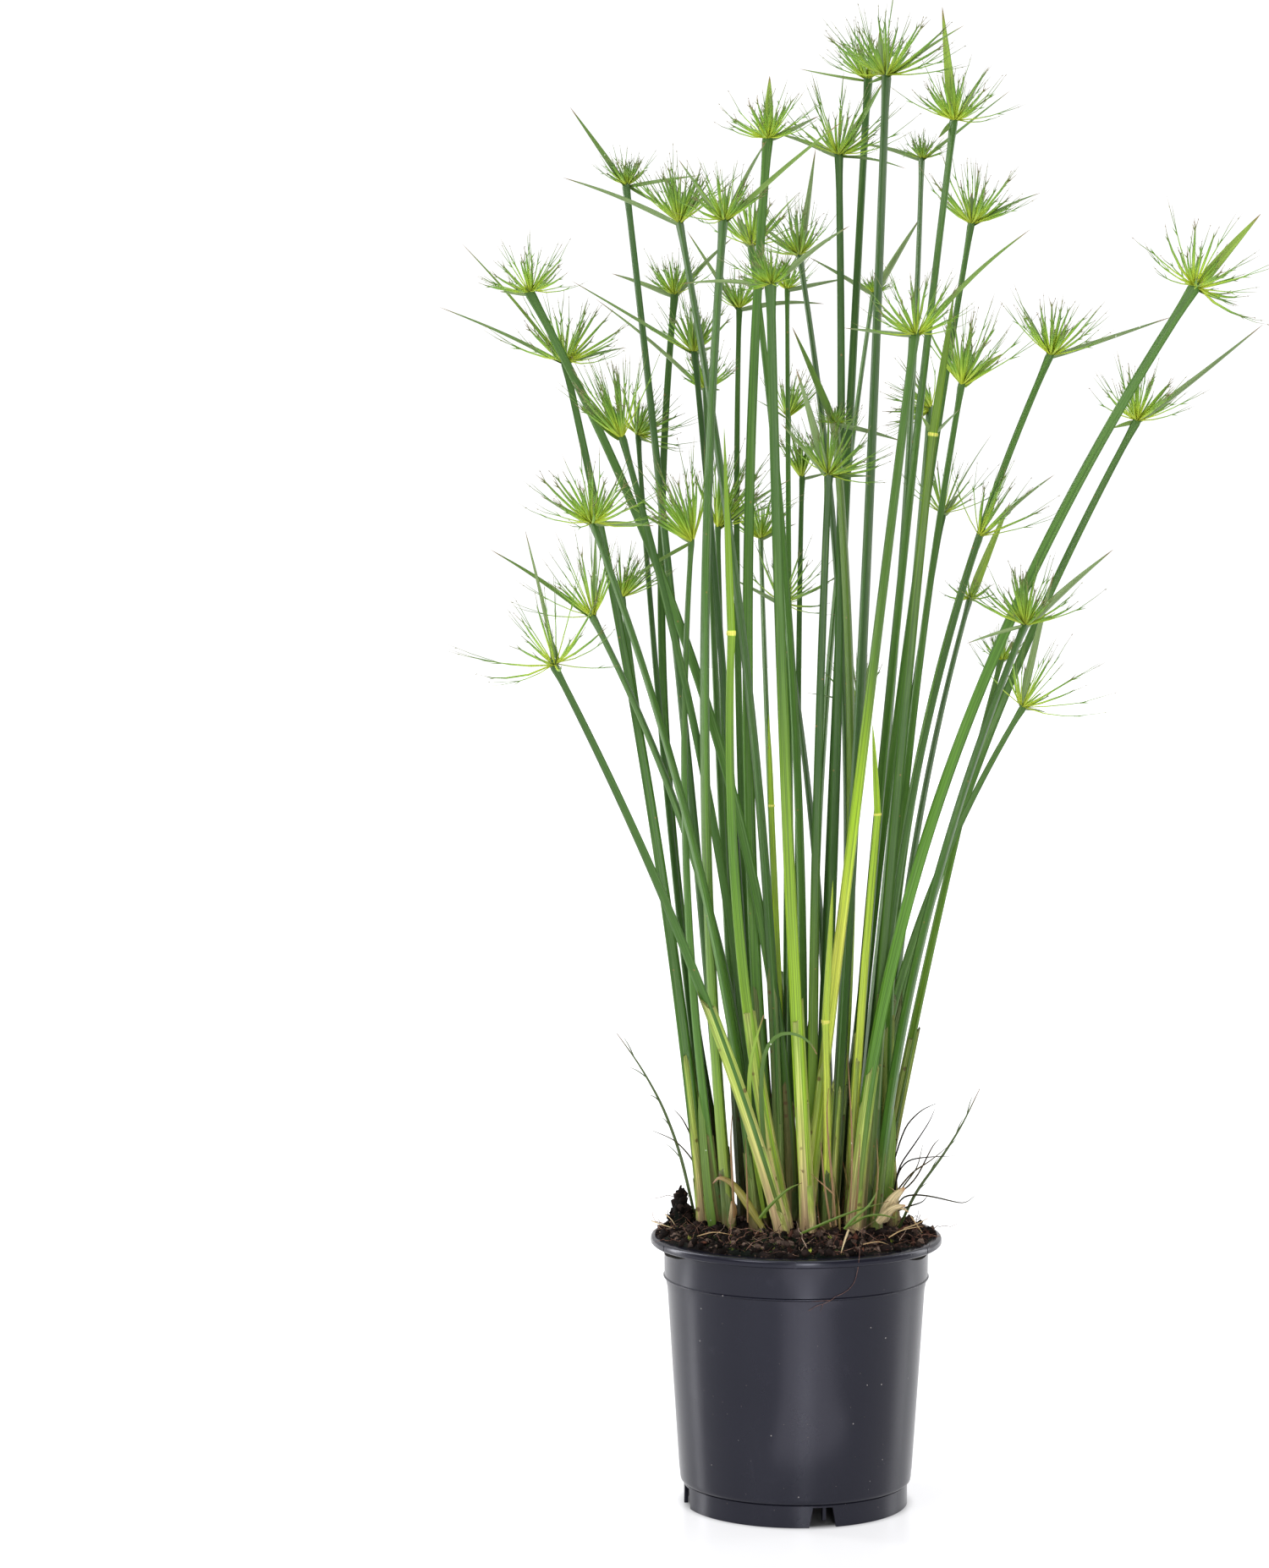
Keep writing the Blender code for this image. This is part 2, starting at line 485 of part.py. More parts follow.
class Space:
    """What stands where, as tapering rods, so that a ray or a bract can keep clear of the other stalks."""

    def __init__(self):
        self.starts, self.ends, self.sizes, self.owners = [], [], [], []
        self.arrays = None

    def add(self, owner, start, end, first, last):
        self.starts.append(start)
        self.ends.append(end)
        self.sizes.append((first, last))
        self.owners.append(owner)
        self.arrays = None

    def is_clear(self, owner, start, end, first, last, clearance):
        if not self.starts:
            return True
        if self.arrays is None:
            self.arrays = [np.array(x, float) for x in (self.starts, self.ends, self.sizes)]
            self.arrays.append(np.array(self.owners))
        starts, ends, sizes, owners = self.arrays
        distance, s, t = segment_distances(start, end, starts, ends)
        mine = first + (last - first) * s
        theirs = sizes[:, 0] + (sizes[:, 1] - sizes[:, 0]) * t
        return bool((distance - mine - theirs > clearance)[owners != owner].all())


def frame_of(direction, spin):
    """Two directions across a line, turned about it by spin."""
    direction = direction / np.linalg.norm(direction)
    side = np.cross(direction, (0.0, 1.0, 0.0))
    if np.linalg.norm(side) < 0.2:
        side = np.cross(direction, (1.0, 0.0, 0.0))
    side /= np.linalg.norm(side)
    other = np.cross(direction, side)
    return side * math.cos(spin) + other * math.sin(spin), other * math.cos(spin) - side * math.sin(spin)


def ring_about(middle, way, radius, spin, corners):
    """The corners of a ring square to a direction."""
    side, other = frame_of(way, spin)
    angles = [2 * math.pi * k / corners for k in range(corners)]
    return [middle + radius * (side * math.cos(a) + other * math.sin(a)) for a in angles]


def tangent(curve, t):
    foot, middle, head = curve
    return 2 * (1 - t) * (middle - foot) + 2 * t * (head - middle)


def culm_rings(row, curve, spin):
    """The culm's three-sided rings from foot to head, the sheath a little thicker."""
    marks = [0.0, SHEATH_TOP - 0.001, SHEATH_TOP + SHEATH_EDGE]
    marks += [SHEATH_TOP + (1.0 - SHEATH_TOP) * k / CULM_STEPS for k in range(1, CULM_STEPS)]
    marks.append(CULM_TOP)
    rings = []
    for t in marks:
        way = tangent(curve, t) if t > 0 else np.array((0.0, 0.0, 1.0))
        rings.append(ring_about(bezier(curve, t), way, culm_radius(row, t), spin, 3))
    return rings


def lean_axis(row, curve):
    """The way an umbel opens: upwards, leaning as its row says, and a little as the culm goes in depth."""
    lean = math.radians(row["rays"][2]) if row["rays"] else 0.0
    along = tangent(curve, 1.0)
    depth = max(-0.35, min(0.35, along[1] / np.linalg.norm(along)))
    axis = np.array((math.sin(lean), depth, math.cos(lean)))
    return axis / np.linalg.norm(axis)


def knob_rings(row, curve, spin):
    """The swollen head: a ring of six corners, a smaller one above it, and the top point."""
    axis = tangent(curve, 1.0)
    axis = axis / np.linalg.norm(axis)
    radius = radius_of(row["widths"][1]) * HEAD_SWELL
    head = bezier(curve, 1.0)
    low = ring_about(head, axis, radius, spin, 6)
    shoulder = head + axis * KNOB_HEIGHT * KNOB_SHOULDER
    high = ring_about(shoulder, axis, radius * KNOB_TAPER, spin + math.pi / 6, 6)
    return low, high, head + axis * KNOB_HEIGHT


def turned(direction, axis, angle):
    cos, sin = math.cos(angle), math.sin(angle)
    return direction * cos + np.cross(axis, direction) * sin + axis * (axis @ direction) * (1 - cos)


def unit(vector):
    return vector / max(1e-9, np.linalg.norm(vector))


def middle_of(shape, face):
    return sum(shape["points"][c] for c in face) / len(face)


def outward(shape, face):
    """The way a face of the head looks, away from its middle."""
    normal = unit(facing([shape["points"][c] for c in face]))
    return normal if normal @ (middle_of(shape, face) - shape["inside"]) > 0 else -normal


def keeps_clear(shape, space, owner, start, tip, first, last):
    """Whether a limb misses the other stalks, and past its foot the stalk's own other limbs."""
    if not space.is_clear(owner, start, tip, first, last, CLEARANCE):
        return False
    past = start + (tip - start) * OWN_FREE
    return shape["limbs"].is_clear(-1, past, tip, first * (1 - OWN_FREE), last, OWN_CLEARANCE)


def keep_limb(shape, space, owner, line, sizes):
    """Notes where a limb stands, for the other stalks and for the stalk's own other limbs."""
    for k in range(len(line) - 1):
        space.add(owner, line[k], line[k + 1], sizes[k], sizes[k + 1])
    past = line[0] + (line[1] - line[0]) * OWN_FREE
    own = [past] + list(line[1:])
    for k in range(len(own) - 1):
        shape["limbs"].add(0, own[k], own[k + 1], sizes[k] * (1 - OWN_FREE), sizes[k + 1])


def add_ray(shape, face, space, owner, row, axis, number):
    """Draws one face of the head out to a point, turned or shortened where it would meet another limb."""
    base, head = middle_of(shape, face), shape["head"]
    size = max(np.linalg.norm(shape["points"][c] - base) for c in face)
    high = face[2] == shape["top"]
    spread = math.radians(row["rays"][1]) * (INNER_SPREAD if high else RAY_SPREADS[number % 2])
    out = base - head
    out = unit(out - axis * (out @ axis))
    way = axis * math.cos(spread) + out * math.sin(spread)
    length = row["rays"][0] * RAY_LENGTHS[number % len(RAY_LENGTHS)]
    for share in RAY_SHARES:
        for angle in RAY_TURNS:
            tip = head + turned(way, axis, angle) * length * share
            if unit(tip - base) @ outward(shape, face) < LEAST_FACING:
                continue
            start = base + (tip - base) * 0.04
            if keeps_clear(shape, space, owner, start, tip, size * 0.95, 0.1):
                keep_limb(shape, space, owner, (start, tip), (size * 0.95, 0.1))
                shape["points"].append(tip)
                apex = len(shape["points"]) - 1
                a, b, c = face
                shape["faces"] += [(a, b, apex), (b, c, apex), (c, a, apex)]
                return
    shape["faces"].append(face)


def facing(corners):
    return np.cross(corners[1] - corners[0], corners[2] - corners[0])


def blade_section(middle, way, width, corners, points):
    """Three points of a keeled blade's section, in the order of the face that it grows from."""
    side = np.cross(way, (0.0, 0.0, 1.0))
    if np.linalg.norm(side) < 0.35:
        side = np.cross(way, (0.0, 1.0, 0.0))
    side /= np.linalg.norm(side)
    up = np.cross(side, way)
    section = [middle - side * width / 2, middle + side * width / 2, middle - up * width * BLADE_KEEL]
    face = [points[c] for c in corners]
    if facing(face) @ facing(section) < 0:
        section.reverse()
    turns = [section[k:] + section[:k] for k in range(3)]
    arms = np.array(face) - sum(face) / 3
    return min(turns, key=lambda s: np.linalg.norm(np.array(s) - middle - arms, axis=1).sum())


def add_blade(shape, corners, path, widths):
    """Grows a keeled blade out of one face, through the path's points to a tip."""
    for k, (middle, width) in enumerate(zip(path[:-1], widths)):
        way = path[k + 1] - middle
        section = blade_section(middle, way / np.linalg.norm(way), width, corners, shape["points"])
        first = len(shape["points"])
        shape["points"] += section
        new = (first, first + 1, first + 2)
        for i in range(3):
            j = (i + 1) % 3
            shape["faces"].append((corners[i], corners[j], new[j], new[i]))
        corners = new
    shape["points"].append(path[-1])
    apex = len(shape["points"]) - 1
    shape["faces"] += [(corners[i], corners[(i + 1) % 3], apex) for i in range(3)]


def bract_path(start, head, reach, depth):
    """A bract's middle line: out from the head, arched a little, to its tip."""
    tip = head + np.array((reach[0], depth, reach[1]), float)
    sag = np.array((0.0, 0.0, BRACT_SAG * np.linalg.norm(tip - start)))
    return [start + (tip - start) * 0.14 + sag * 0.3, start + (tip - start) * 0.55 + sag, tip]


def add_bract(shape, free, space, owner, bract):
    """Puts one bract on the free face that looks most its way, at the first depth where it keeps clear."""
    head = shape["head"]
    reach, width = bract[:2], bract[2]
    long = math.hypot(*reach)
    for share in BRACT_SHARES:
        for depth in BRACT_DEPTHS:
            away = np.array((reach[0], depth * long, reach[1])) * share
            face = max(free, key=lambda f: outward(shape, f) @ unit(away))
            start = middle_of(shape, face)
            path = bract_path(start, head, (away[0], away[2]), away[1])
            line = [start + (path[0] - start) * 0.6] + path
            sizes = (width * 0.5, width * 0.5, width * 0.5, 0.1)
            steps = [(line[k], line[k + 1], sizes[k], sizes[k + 1]) for k in range(3)]
            clear = all(keeps_clear(shape, space, owner, *step) for step in steps)
            if clear and outward(shape, face) @ unit(path[0] - start) > LEAST_FACING:
                keep_limb(shape, space, owner, line, sizes)
                free.remove(face)
                add_blade(shape, face, path, (width * 0.8, width))
                return


def head_faces(shape, row, curve, spin, top):
    """Builds the swollen head on the culm's last ring. Returns the faces that bracts may grow from, rays too."""
    low, high, point = knob_rings(row, curve, spin)
    first_low = len(shape["points"])
    shape["points"] += low
    under = []
    for i in range(3):
        t, u = top + i, top + (i + 1) % 3
        before, at, after = (first_low + (2 * i + k) % 6 for k in (-1, 0, 1))
        under += [(t, at, before), (t, after, at)]
        shape["faces"].append((t, u, after))
    if row.get("spear"):
        return first_low, under, []
    first_high = len(shape["points"])
    shape["points"] += high + [point]
    shape["top"] = len(shape["points"]) - 1
    over = []
    for k in range(6):
        at, after = first_low + k, first_low + (k + 1) % 6
        above, beside = first_high + k, first_high + (k + 1) % 6
        over += [(at, after, above), (above, after, beside), (above, beside, shape["top"])]
    return first_low, under, over


def make_stalk(index, row, curve, space):
    spin = GOLDEN_TURN * index
    rings = culm_rings(row, curve, spin)
    head = bezier(curve, 1.0)
    shape = {"points": [], "faces": [(2, 1, 0)], "head": head, "limbs": Space(), "top": -1}
    shape["inside"] = head + unit(tangent(curve, 1.0)) * KNOB_HEIGHT * INSIDE_SHARE
    for ring in rings:
        shape["points"] += ring
    for k in range(len(rings) - 1):
        for i in range(3):
            j = (i + 1) % 3
            shape["faces"].append((3 * k + i, 3 * k + j, 3 * k + 3 + j, 3 * k + 3 + i))
    top = 3 * (len(rings) - 1)
    first_low, under, over = head_faces(shape, row, curve, spin, top)
    shape["limbs"].add(0, bezier(curve, CULM_FOOT_FREE), bezier(curve, CULM_HEAD_FREE), *row["widths"])
    free = under + over
    for bract in row["bracts"]:
        add_bract(shape, free, space, index, bract)
    if row.get("spear"):
        close_with_spear(shape, row, curve, space, index, first_low, spin)
    axis = lean_axis(row, curve)
    for number, face in enumerate(face for face in over if face in free):
        add_ray(shape, face, space, index, row, axis, number)
    shape["faces"] += [face for face in under if face in free]
    young = row.get("spear") or index % YOUNG_EVERY == 2
    colour = "young_green" if young else "culm_green"
    return add_object(row["name"], [tuple(p) for p in shape["points"]], shape["faces"], colour)


def close_with_spear(shape, row, curve, space, index, first_low, spin):
    """A young head still shut: above its ring the bracts stand together as one long spear."""
    reach_x, reach_z, width = row["spear"]
    head = shape["head"]
    tip = head + np.array((reach_x, 0.0, reach_z), float)
    lower = [first_low + k for k in range(6)]
    for share, size in SPEAR_STEPS:
        first = len(shape["points"])
        middle = head + (tip - head) * share
        shape["points"] += ring_about(middle, tip - head, radius_of(width) * size, spin, 6)
        upper = [first + k for k in range(6)]
        for k in range(6):
            j = (k + 1) % 6
            shape["faces"].append((lower[k], lower[j], upper[j], upper[k]))
        lower = upper
    shape["points"].append(tip)
    apex = len(shape["points"]) - 1
    shape["faces"] += [(lower[k], lower[(k + 1) % 6], apex) for k in range(6)]
    space.add(index, head, tip, radius_of(width), 0.3)


def blade_line(path, widths, tree):
    """A loose blade's middle line, its foot lifted to rest on the peat."""
    line = [np.array(p, float) for p in path]
    line[0][2] = max(line[0][2], surface_under(tree, line[0][0], line[0][1]) + widths[0] * 0.7)
    line[1][2] = max(line[1][2], surface_under(tree, line[1][0], line[1][1]) + widths[1])
    return line


def make_loose_blade(name, path, widths, colour):
    start = ring_about(path[0], path[1] - path[0], widths[0] * 0.4, 0.0, 3)
    shape = {"points": start, "faces": [(2, 1, 0)]}
    add_blade(shape, (0, 1, 2), path[1:], widths[1:])
    return add_object(name, [tuple(p) for p in shape["points"]], shape["faces"], colour)


def main():
    clear_scene()
    make_pot()
    peat = make_peat()
    bpy.context.view_layer.update()
    tree = BVHTree.FromObject(peat, bpy.context.evaluated_depsgraph_get())
    curves = stand_on_peat(part_the_culms(first_curves()), tree)
    space = Space()
    steps = np.linspace(0.0, 1.0, 13)
    for index, (row, curve) in enumerate(zip(STALKS, curves)):
        for low, high in zip(steps[:-1], steps[1:]):
            sizes = (culm_radius(row, low), culm_radius(row, high))
            space.add(index, bezier(curve, low), bezier(curve, high), *sizes)
    blades = (("curled_leaf", CURLED_LEAF, CURLED_LEAF_WIDTHS, "dry_blade"),
              ("left_grass", LEFT_GRASS, GRASS_WIDTHS, "grass"),
              ("right_grass", RIGHT_GRASS, GRASS_WIDTHS, "grass"))
    for number, (name, path, widths, colour) in enumerate(blades):
        line = blade_line(path, widths, tree)
        make_loose_blade(name, line, widths, colour)
        for k in range(len(line) - 1):
            space.add(len(STALKS) + number, line[k], line[k + 1], widths[k] / 2, widths[k + 1] / 2)
    for index, (row, curve) in enumerate(zip(STALKS, curves)):
        make_stalk(index, row, curve, space)


main()
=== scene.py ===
"""A papyrus plant in a black nursery pot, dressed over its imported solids: every stalk, ray and bract, the peat and the pot."""

import json
import math

import bmesh
import bpy
import numpy as np
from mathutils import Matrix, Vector, noise

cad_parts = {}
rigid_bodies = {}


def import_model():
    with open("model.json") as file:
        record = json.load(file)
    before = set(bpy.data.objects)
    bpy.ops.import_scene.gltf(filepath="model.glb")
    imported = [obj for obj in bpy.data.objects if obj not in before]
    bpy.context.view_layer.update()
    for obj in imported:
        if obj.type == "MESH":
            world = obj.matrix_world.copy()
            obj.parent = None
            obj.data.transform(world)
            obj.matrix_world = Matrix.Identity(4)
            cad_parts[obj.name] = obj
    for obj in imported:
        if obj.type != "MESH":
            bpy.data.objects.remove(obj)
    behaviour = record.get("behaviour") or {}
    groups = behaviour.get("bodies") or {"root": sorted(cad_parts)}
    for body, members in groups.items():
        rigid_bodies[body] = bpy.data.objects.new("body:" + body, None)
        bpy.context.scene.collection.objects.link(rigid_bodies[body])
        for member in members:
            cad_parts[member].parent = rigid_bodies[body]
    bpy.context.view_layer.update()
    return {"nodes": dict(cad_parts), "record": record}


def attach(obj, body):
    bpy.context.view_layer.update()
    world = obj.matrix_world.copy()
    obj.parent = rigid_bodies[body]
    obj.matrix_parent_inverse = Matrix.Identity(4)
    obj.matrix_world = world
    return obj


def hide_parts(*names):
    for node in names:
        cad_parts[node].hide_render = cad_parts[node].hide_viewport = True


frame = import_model()
SLOT_OF = {row["node"]: row["material_slot"] for row in frame["record"]["subparts"]}

MM = 0.001

# The pot's axis in the row frame, in mm. Every place below is in mm about it
POT_AXIS = np.array((-35.0, 7.0, 0.0))

# Camera: where it stands about the pot's axis in mm, how far it looks down and left, and its lens
CAMERA_AT = (0.0, -2700.0, 670.0)
CAMERA_DOWN = math.radians(4.2)
CAMERA_LEFT = math.atan(193.0 / 4932.0)
FOCAL_PIXELS = 4932.0
IMAGE_LONG_SIDE = 1854.0
SENSOR_WIDTH = 36.0
AXIS_COLUMN = 943.0
MIDDLE_ROW = 927.0

# Stalks, as in the solids
FOOT_LEVEL = 178.0
CULM_FLARE = 1.16
SHEATH_TOP = 0.14
HEAD_SWELL = 1.55
CLEARANCE = 0.7
FOOT_LIMIT = 73.0
GOLDEN_TURN = 2.39996
PARTING_LEVELS = (176.0, 940.0, 19.0)
PARTING_TURNS = 260
PARTING_STEP = 1.2
PARTING_SPARE = 0.3
LEANING_GIRTH = 1.10
LOW_PART = 0.2
LOW_GIVE = 0.9
HIGH_GIVE = 0.35
HEAD_ROOM = 14.0
SPEAR_ROOM = 8.0
BRACT_SHARES = (1.0, 0.82, 0.6)

# Each row is one stalk. foot: where it leaves the peat. head: where its bracts and rays leave the culm.
# bend: how far the culm's middle stands to the right of a straight line. widths: culm at foot and head.
# rays: their length, the half-angle they fan to and their lean to the right, in degrees.
# bracts: reach to the right, reach upwards and width of each blade, in mm. spear: a closed shoot's reach.
STALKS = (
    dict(name="stalk_01", foot=(-42, 30), head=(-111, 20, 857), bend=3, widths=(7.4, 4.2),
         rays=(24, 38, 0), bracts=((-37, 52, 4.0), (47, 8, 3.6), (32, -16, 2.2))),
    dict(name="stalk_02", foot=(-4, 11), head=(-167, -60, 785), bend=40, widths=(7.8, 5.0),
         rays=(34, 55, -6), bracts=((-20, 2, 3.0), (18, 22, 2.0))),
    dict(name="stalk_03", foot=(-58, 20), head=(-149, -20, 742), bend=9, widths=(8.4, 4.2),
         rays=(48, 50, 0), bracts=((-81, 37, 3.0), (-66, 77, 2.2), (39, 11, 3.0))),
    dict(name="stalk_04", foot=(-18, 4), head=(-110, -90, 693), bend=13, widths=(7.2, 4.0),
         rays=(52, 26, -20), bracts=((-27, 22, 4.2),)),
    dict(name="stalk_05", foot=(-52, 35), head=(-105, 40, 696), bend=-4, widths=(6.2, 3.2),
         rays=(37, 50, 26), bracts=((8, -3, 2.4),)),
    dict(name="stalk_06", foot=(-19, 1), head=(-127, -100, 640), bend=16, widths=(7.0, 3.8),
         rays=(48, 50, 0), bracts=((-33, 19, 3.2), (38, 0, 3.0))),
    dict(name="stalk_07", foot=(-20, 15), head=(-129, -40, 580), bend=26, widths=(7.0, 3.8),
         rays=(58, 36, -18), bracts=((-66, 44, 3.0), (1, 58, 3.4))),
    dict(name="stalk_08", foot=(-5, -8), head=(-149, -130, 553), bend=10, widths=(8.4, 4.4),
         rays=(56, 62, -18), bracts=((-3, 19, 4.4), (-17, 85, 2.0))),
    dict(name="stalk_09", foot=(-54, 26), head=(-113, 0, 591), bend=-2, widths=(6.0, 3.0),
         rays=(33, 32, 18), bracts=()),
    dict(name="stalk_10", foot=(-45, 40), head=(-82, 60, 788), bend=-24, widths=(7.0, 4.0),
         rays=(29, 38, 0), bracts=((-41, 16, 3.4), (38, 39, 3.2))),
    dict(name="stalk_11", foot=(-24, 18), head=(-66, -30, 748), bend=4, widths=(7.0, 3.8),
         rays=(37, 36, 0), bracts=((-78, 47, 3.0), (2, 29, 4.6), (14, 6, 2.6))),
    dict(name="stalk_12", foot=(-35, 32), head=(-61, 30, 726), bend=-3, widths=(6.4, 3.4),
         rays=(30, 40, 0), bracts=((-71, 60, 2.6), (10, 1, 2.4))),
    dict(name="stalk_13", foot=(-10, 8), head=(-72, -70, 827), bend=15, widths=(7.0, 3.8),
         rays=(44, 36, 0), bracts=((-73, 30, 3.2), (20, 30, 2.4))),
    dict(name="stalk_14", foot=(-42, -2), head=(-45, -120, 826), bend=-14, widths=(7.8, 4.8),
         rays=(36, 46, 0), bracts=((73, 62, 3.8), (-28, 39, 3.0), (26, 50, 2.8))),
    dict(name="stalk_15", foot=(12, 35), head=(-30, 40, 819), bend=12, widths=(7.0, 4.0),
         rays=(40, 42, 2), bracts=((-10, 21, 5.0), (30, 36, 2.6))),
    dict(name="stalk_16", foot=(-12, 14), head=(-20, -50, 881), bend=-16, widths=(8.8, 5.2),
         rays=(37, 46, 0), bracts=((1, 41, 4.8), (32, 16, 3.2))),
    dict(name="stalk_17", foot=(15, 20), head=(25, -20, 873), bend=7, widths=(7.4, 4.2),
         rays=(46, 46, 8), bracts=((-41, 16, 3.2), (29, 49, 5.2), (43, -7, 2.4))),
    dict(name="stalk_18", foot=(14, 38), head=(44, 60, 928), bend=-3, widths=(8.0, 4.8),
         rays=(36, 36, 0), bracts=((-44, 9, 3.0), (16, 34, 2.6))),
    dict(name="stalk_19", foot=(26, 12), head=(54, -60, 919), bend=4, widths=(8.0, 4.8),
         rays=(50, 50, 4), bracts=((-4, 29, 5.2), (49, 33, 3.2), (-11, -3, 2.6))),
    dict(name="stalk_20", foot=(23, 52), head=(82, 120, 881), bend=10, widths=(6.0, 3.2),
         rays=(18, 46, 0), bracts=((-42, 12, 2.8), (59, 47, 3.2))),
    dict(name="stalk_21", foot=(34, 25), head=(99, 0, 896), bend=-5, widths=(7.4, 4.4),
         rays=(38, 46, 6), bracts=((-8, 74, 4.8), (-10, -9, 2.8), (22, 36, 2.6))),
    dict(name="stalk_22", foot=(42, 38), head=(113, 60, 834), bend=-9, widths=(6.6, 3.8),
         rays=(44, 46, 6), bracts=((0, 22, 4.8), (45, 22, 3.2))),
    dict(name="stalk_23", foot=(6, -8), head=(-17, -140, 786), bend=-2, widths=(9.6, 5.4),
         rays=(27, 50, -18), bracts=((48, 37, 3.8), (-55, 2, 2.8))),
    dict(name="stalk_24", foot=(-21, 52), head=(-40, 110, 781), bend=-8, widths=(6.4, 3.2),
         rays=(29, 38, 0), bracts=((-35, 54, 4.2), (57, 5, 3.2))),
    dict(name="stalk_25", foot=(-2, 47), head=(-8, 90, 793), bend=0, widths=(6.0, 3.0),
         rays=(23, 38, 0), bracts=((40, 9, 2.8),)),
    dict(name="stalk_26", foot=(26, 28), head=(1, 10, 811), bend=22, widths=(6.4, 3.4),
         rays=(37, 42, -12), bracts=((10, 70, 3.6), (-22, 20, 2.2))),
    dict(name="stalk_27", foot=(12, 56), head=(50, 130, 792), bend=-14, widths=(5.6, 2.8),
         rays=(15, 44, 0), bracts=((-43, 26, 2.8), (32, 53, 3.8))),
    dict(name="stalk_28", foot=(10, -2), head=(73, -110, 756), bend=-1, widths=(8.6, 5.4),
         rays=(41, 44, 0), bracts=((-44, 6, 2.8), (70, 66, 3.4))),
    dict(name="stalk_29", foot=(50, 30), head=(105, 20, 728), bend=-11, widths=(7.0, 3.8),
         rays=(56, 32, 12), bracts=((26, 22, 3.4),)),
    dict(name="stalk_30", foot=(42, 8), head=(86, -70, 696), bend=-3, widths=(8.0, 4.8),
         rays=None, bracts=((17, 17, 3.0), (-7, 13, 2.6)), spear=(13, 91, 5.6)),
    dict(name="stalk_31", foot=(43, 47), head=(96, 90, 644), bend=-8, widths=(5.8, 3.0),
         rays=(42, 44, 4), bracts=((11, 15, 4.4), (32, 55, 2.6))),
    dict(name="stalk_32", foot=(51, 18), head=(115, -30, 631), bend=-19, widths=(6.2, 3.2),
         rays=(54, 32, 30), bracts=((48, 41, 2.8),)),
    dict(name="stalk_33", foot=(54, 40), head=(112, 60, 588), bend=-15, widths=(6.0, 3.2),
         rays=(22, 70, 0), bracts=((27, 66, 4.2),)),
    dict(name="stalk_34", foot=(43, 2), head=(142, -70, 576), bend=-16, widths=(7.2, 4.2),
         rays=(47, 44, 4), bracts=((55, 49, 4.6), (-36, -10, 2.0))),
    dict(name="stalk_35", foot=(54, 20), head=(159, -20, 746), bend=-38, widths=(7.6, 4.4),
         rays=(42, 42, 12), bracts=((77, 26, 3.2), (-20, 37, 2.4))),
    dict(name="stalk_36", foot=(38, 2), head=(244, -60, 787), bend=-46, widths=(9.4, 6.0),
         rays=(47, 72, 34), bracts=((41, 47, 4.8), (28, -10, 2.6))),
    dict(name="stalk_37", foot=(42, 32), head=(219, 30, 705), bend=-24, widths=(7.4, 4.2),
         rays=(41, 42, 10), bracts=((82, 64, 3.4), (-15, -3, 2.6))),
    dict(name="stalk_38", foot=(41, 28), head=(145, 10, 520), bend=-25, widths=(6.6, 3.8),
         rays=(52, 44, 28), bracts=((21, 89, 3.8), (17, -2, 1.8))),
    dict(name="stalk_39", foot=(23, 40), head=(40, 60, 518), bend=0, widths=(5.4, 2.8),
         rays=(42, 28, -3), bracts=((14, 49, 2.2), (-35, 10, 1.8))),
    dict(name="stalk_40", foot=(20, 43), head=(-10, 70, 585), bend=9, widths=(6.2, 3.2),
         rays=(48, 50, 26), bracts=((-35, 19, 2.6),)),
    dict(name="stalk_41", foot=(-2, 56), head=(-25, 130, 627), bend=-2, widths=(5.6, 2.8),
         rays=(37, 40, -6), bracts=((24, 12, 2.0),)),
    dict(name="stalk_42", foot=(-50, 12), head=(-67, -60, 628), bend=-12, widths=(6.8, 3.4),
         rays=(56, 28, -24), bracts=((-22, 15, 3.0), (-44, -25, 2.2))),
    dict(name="stalk_43", foot=(-27, 44), head=(-53, 80, 635), bend=-4, widths=(6.6, 3.2),
         rays=(57, 32, 24), bracts=((48, 34, 4.2),)),
    dict(name="stalk_44", foot=(9, 10), head=(19, -60, 670), bend=-3, widths=(7.2, 4.2),
         rays=(44, 44, 22), bracts=((-30, 34, 3.6), (-21, 68, 4.6), (27, 1, 2.8))),
    dict(name="stalk_45", foot=(1, 49), head=(2, 100, 668), bend=-3, widths=(5.8, 3.2),
         rays=(35, 22, -4), bracts=((20, 6, 2.0),)),
    dict(name="stalk_46", foot=(-7, 61), head=(-7, 150, 709), bend=0, widths=(5.6, 2.8),
         rays=(35, 28, 14), bracts=((-22, 14, 2.0),)),
    dict(name="stalk_47", foot=(37, 58), head=(89, 140, 714), bend=2, widths=(7.0, 4.4),
         rays=(34, 40, -66), bracts=((-10, 26, 2.2),)),
    dict(name="stalk_48", foot=(29, 20), head=(24, -20, 703), bend=11, widths=(7.6, 5.0),
         rays=(14, 84, 0), bracts=((43, -10, 2.8), (-28, 63, 4.4))),
    dict(name="stalk_49", foot=(54, 44), head=(136, 100, 546), bend=-4, widths=(7.4, 3.6),
         rays=(22, 42, 10), bracts=((12, 10, 2.0),)),
    dict(name="young_stalk_1", foot=(-12, 1), head=(-43, -100, 572), bend=-12, widths=(8.8, 4.6),
         rays=None, bracts=(), spear=(-5, 129, 5.2)),
    dict(name="young_stalk_2", foot=(-6, 26), head=(-20, -30, 459), bend=0, widths=(6.0, 3.4),
         rays=None, bracts=(), spear=(-2, 60, 3.8)),
    dict(name="young_stalk_3", foot=(34, 12), head=(49, -60, 456), bend=2, widths=(6.6, 4.4),
         rays=None, bracts=(), spear=(-3, 58, 4.6)),
    dict(name="young_stalk_4", foot=(15, 3), head=(20, -45, 322), bend=0, widths=(6.4, 4.6),
         rays=None, bracts=(), spear=(5, 92, 5.2)),
)


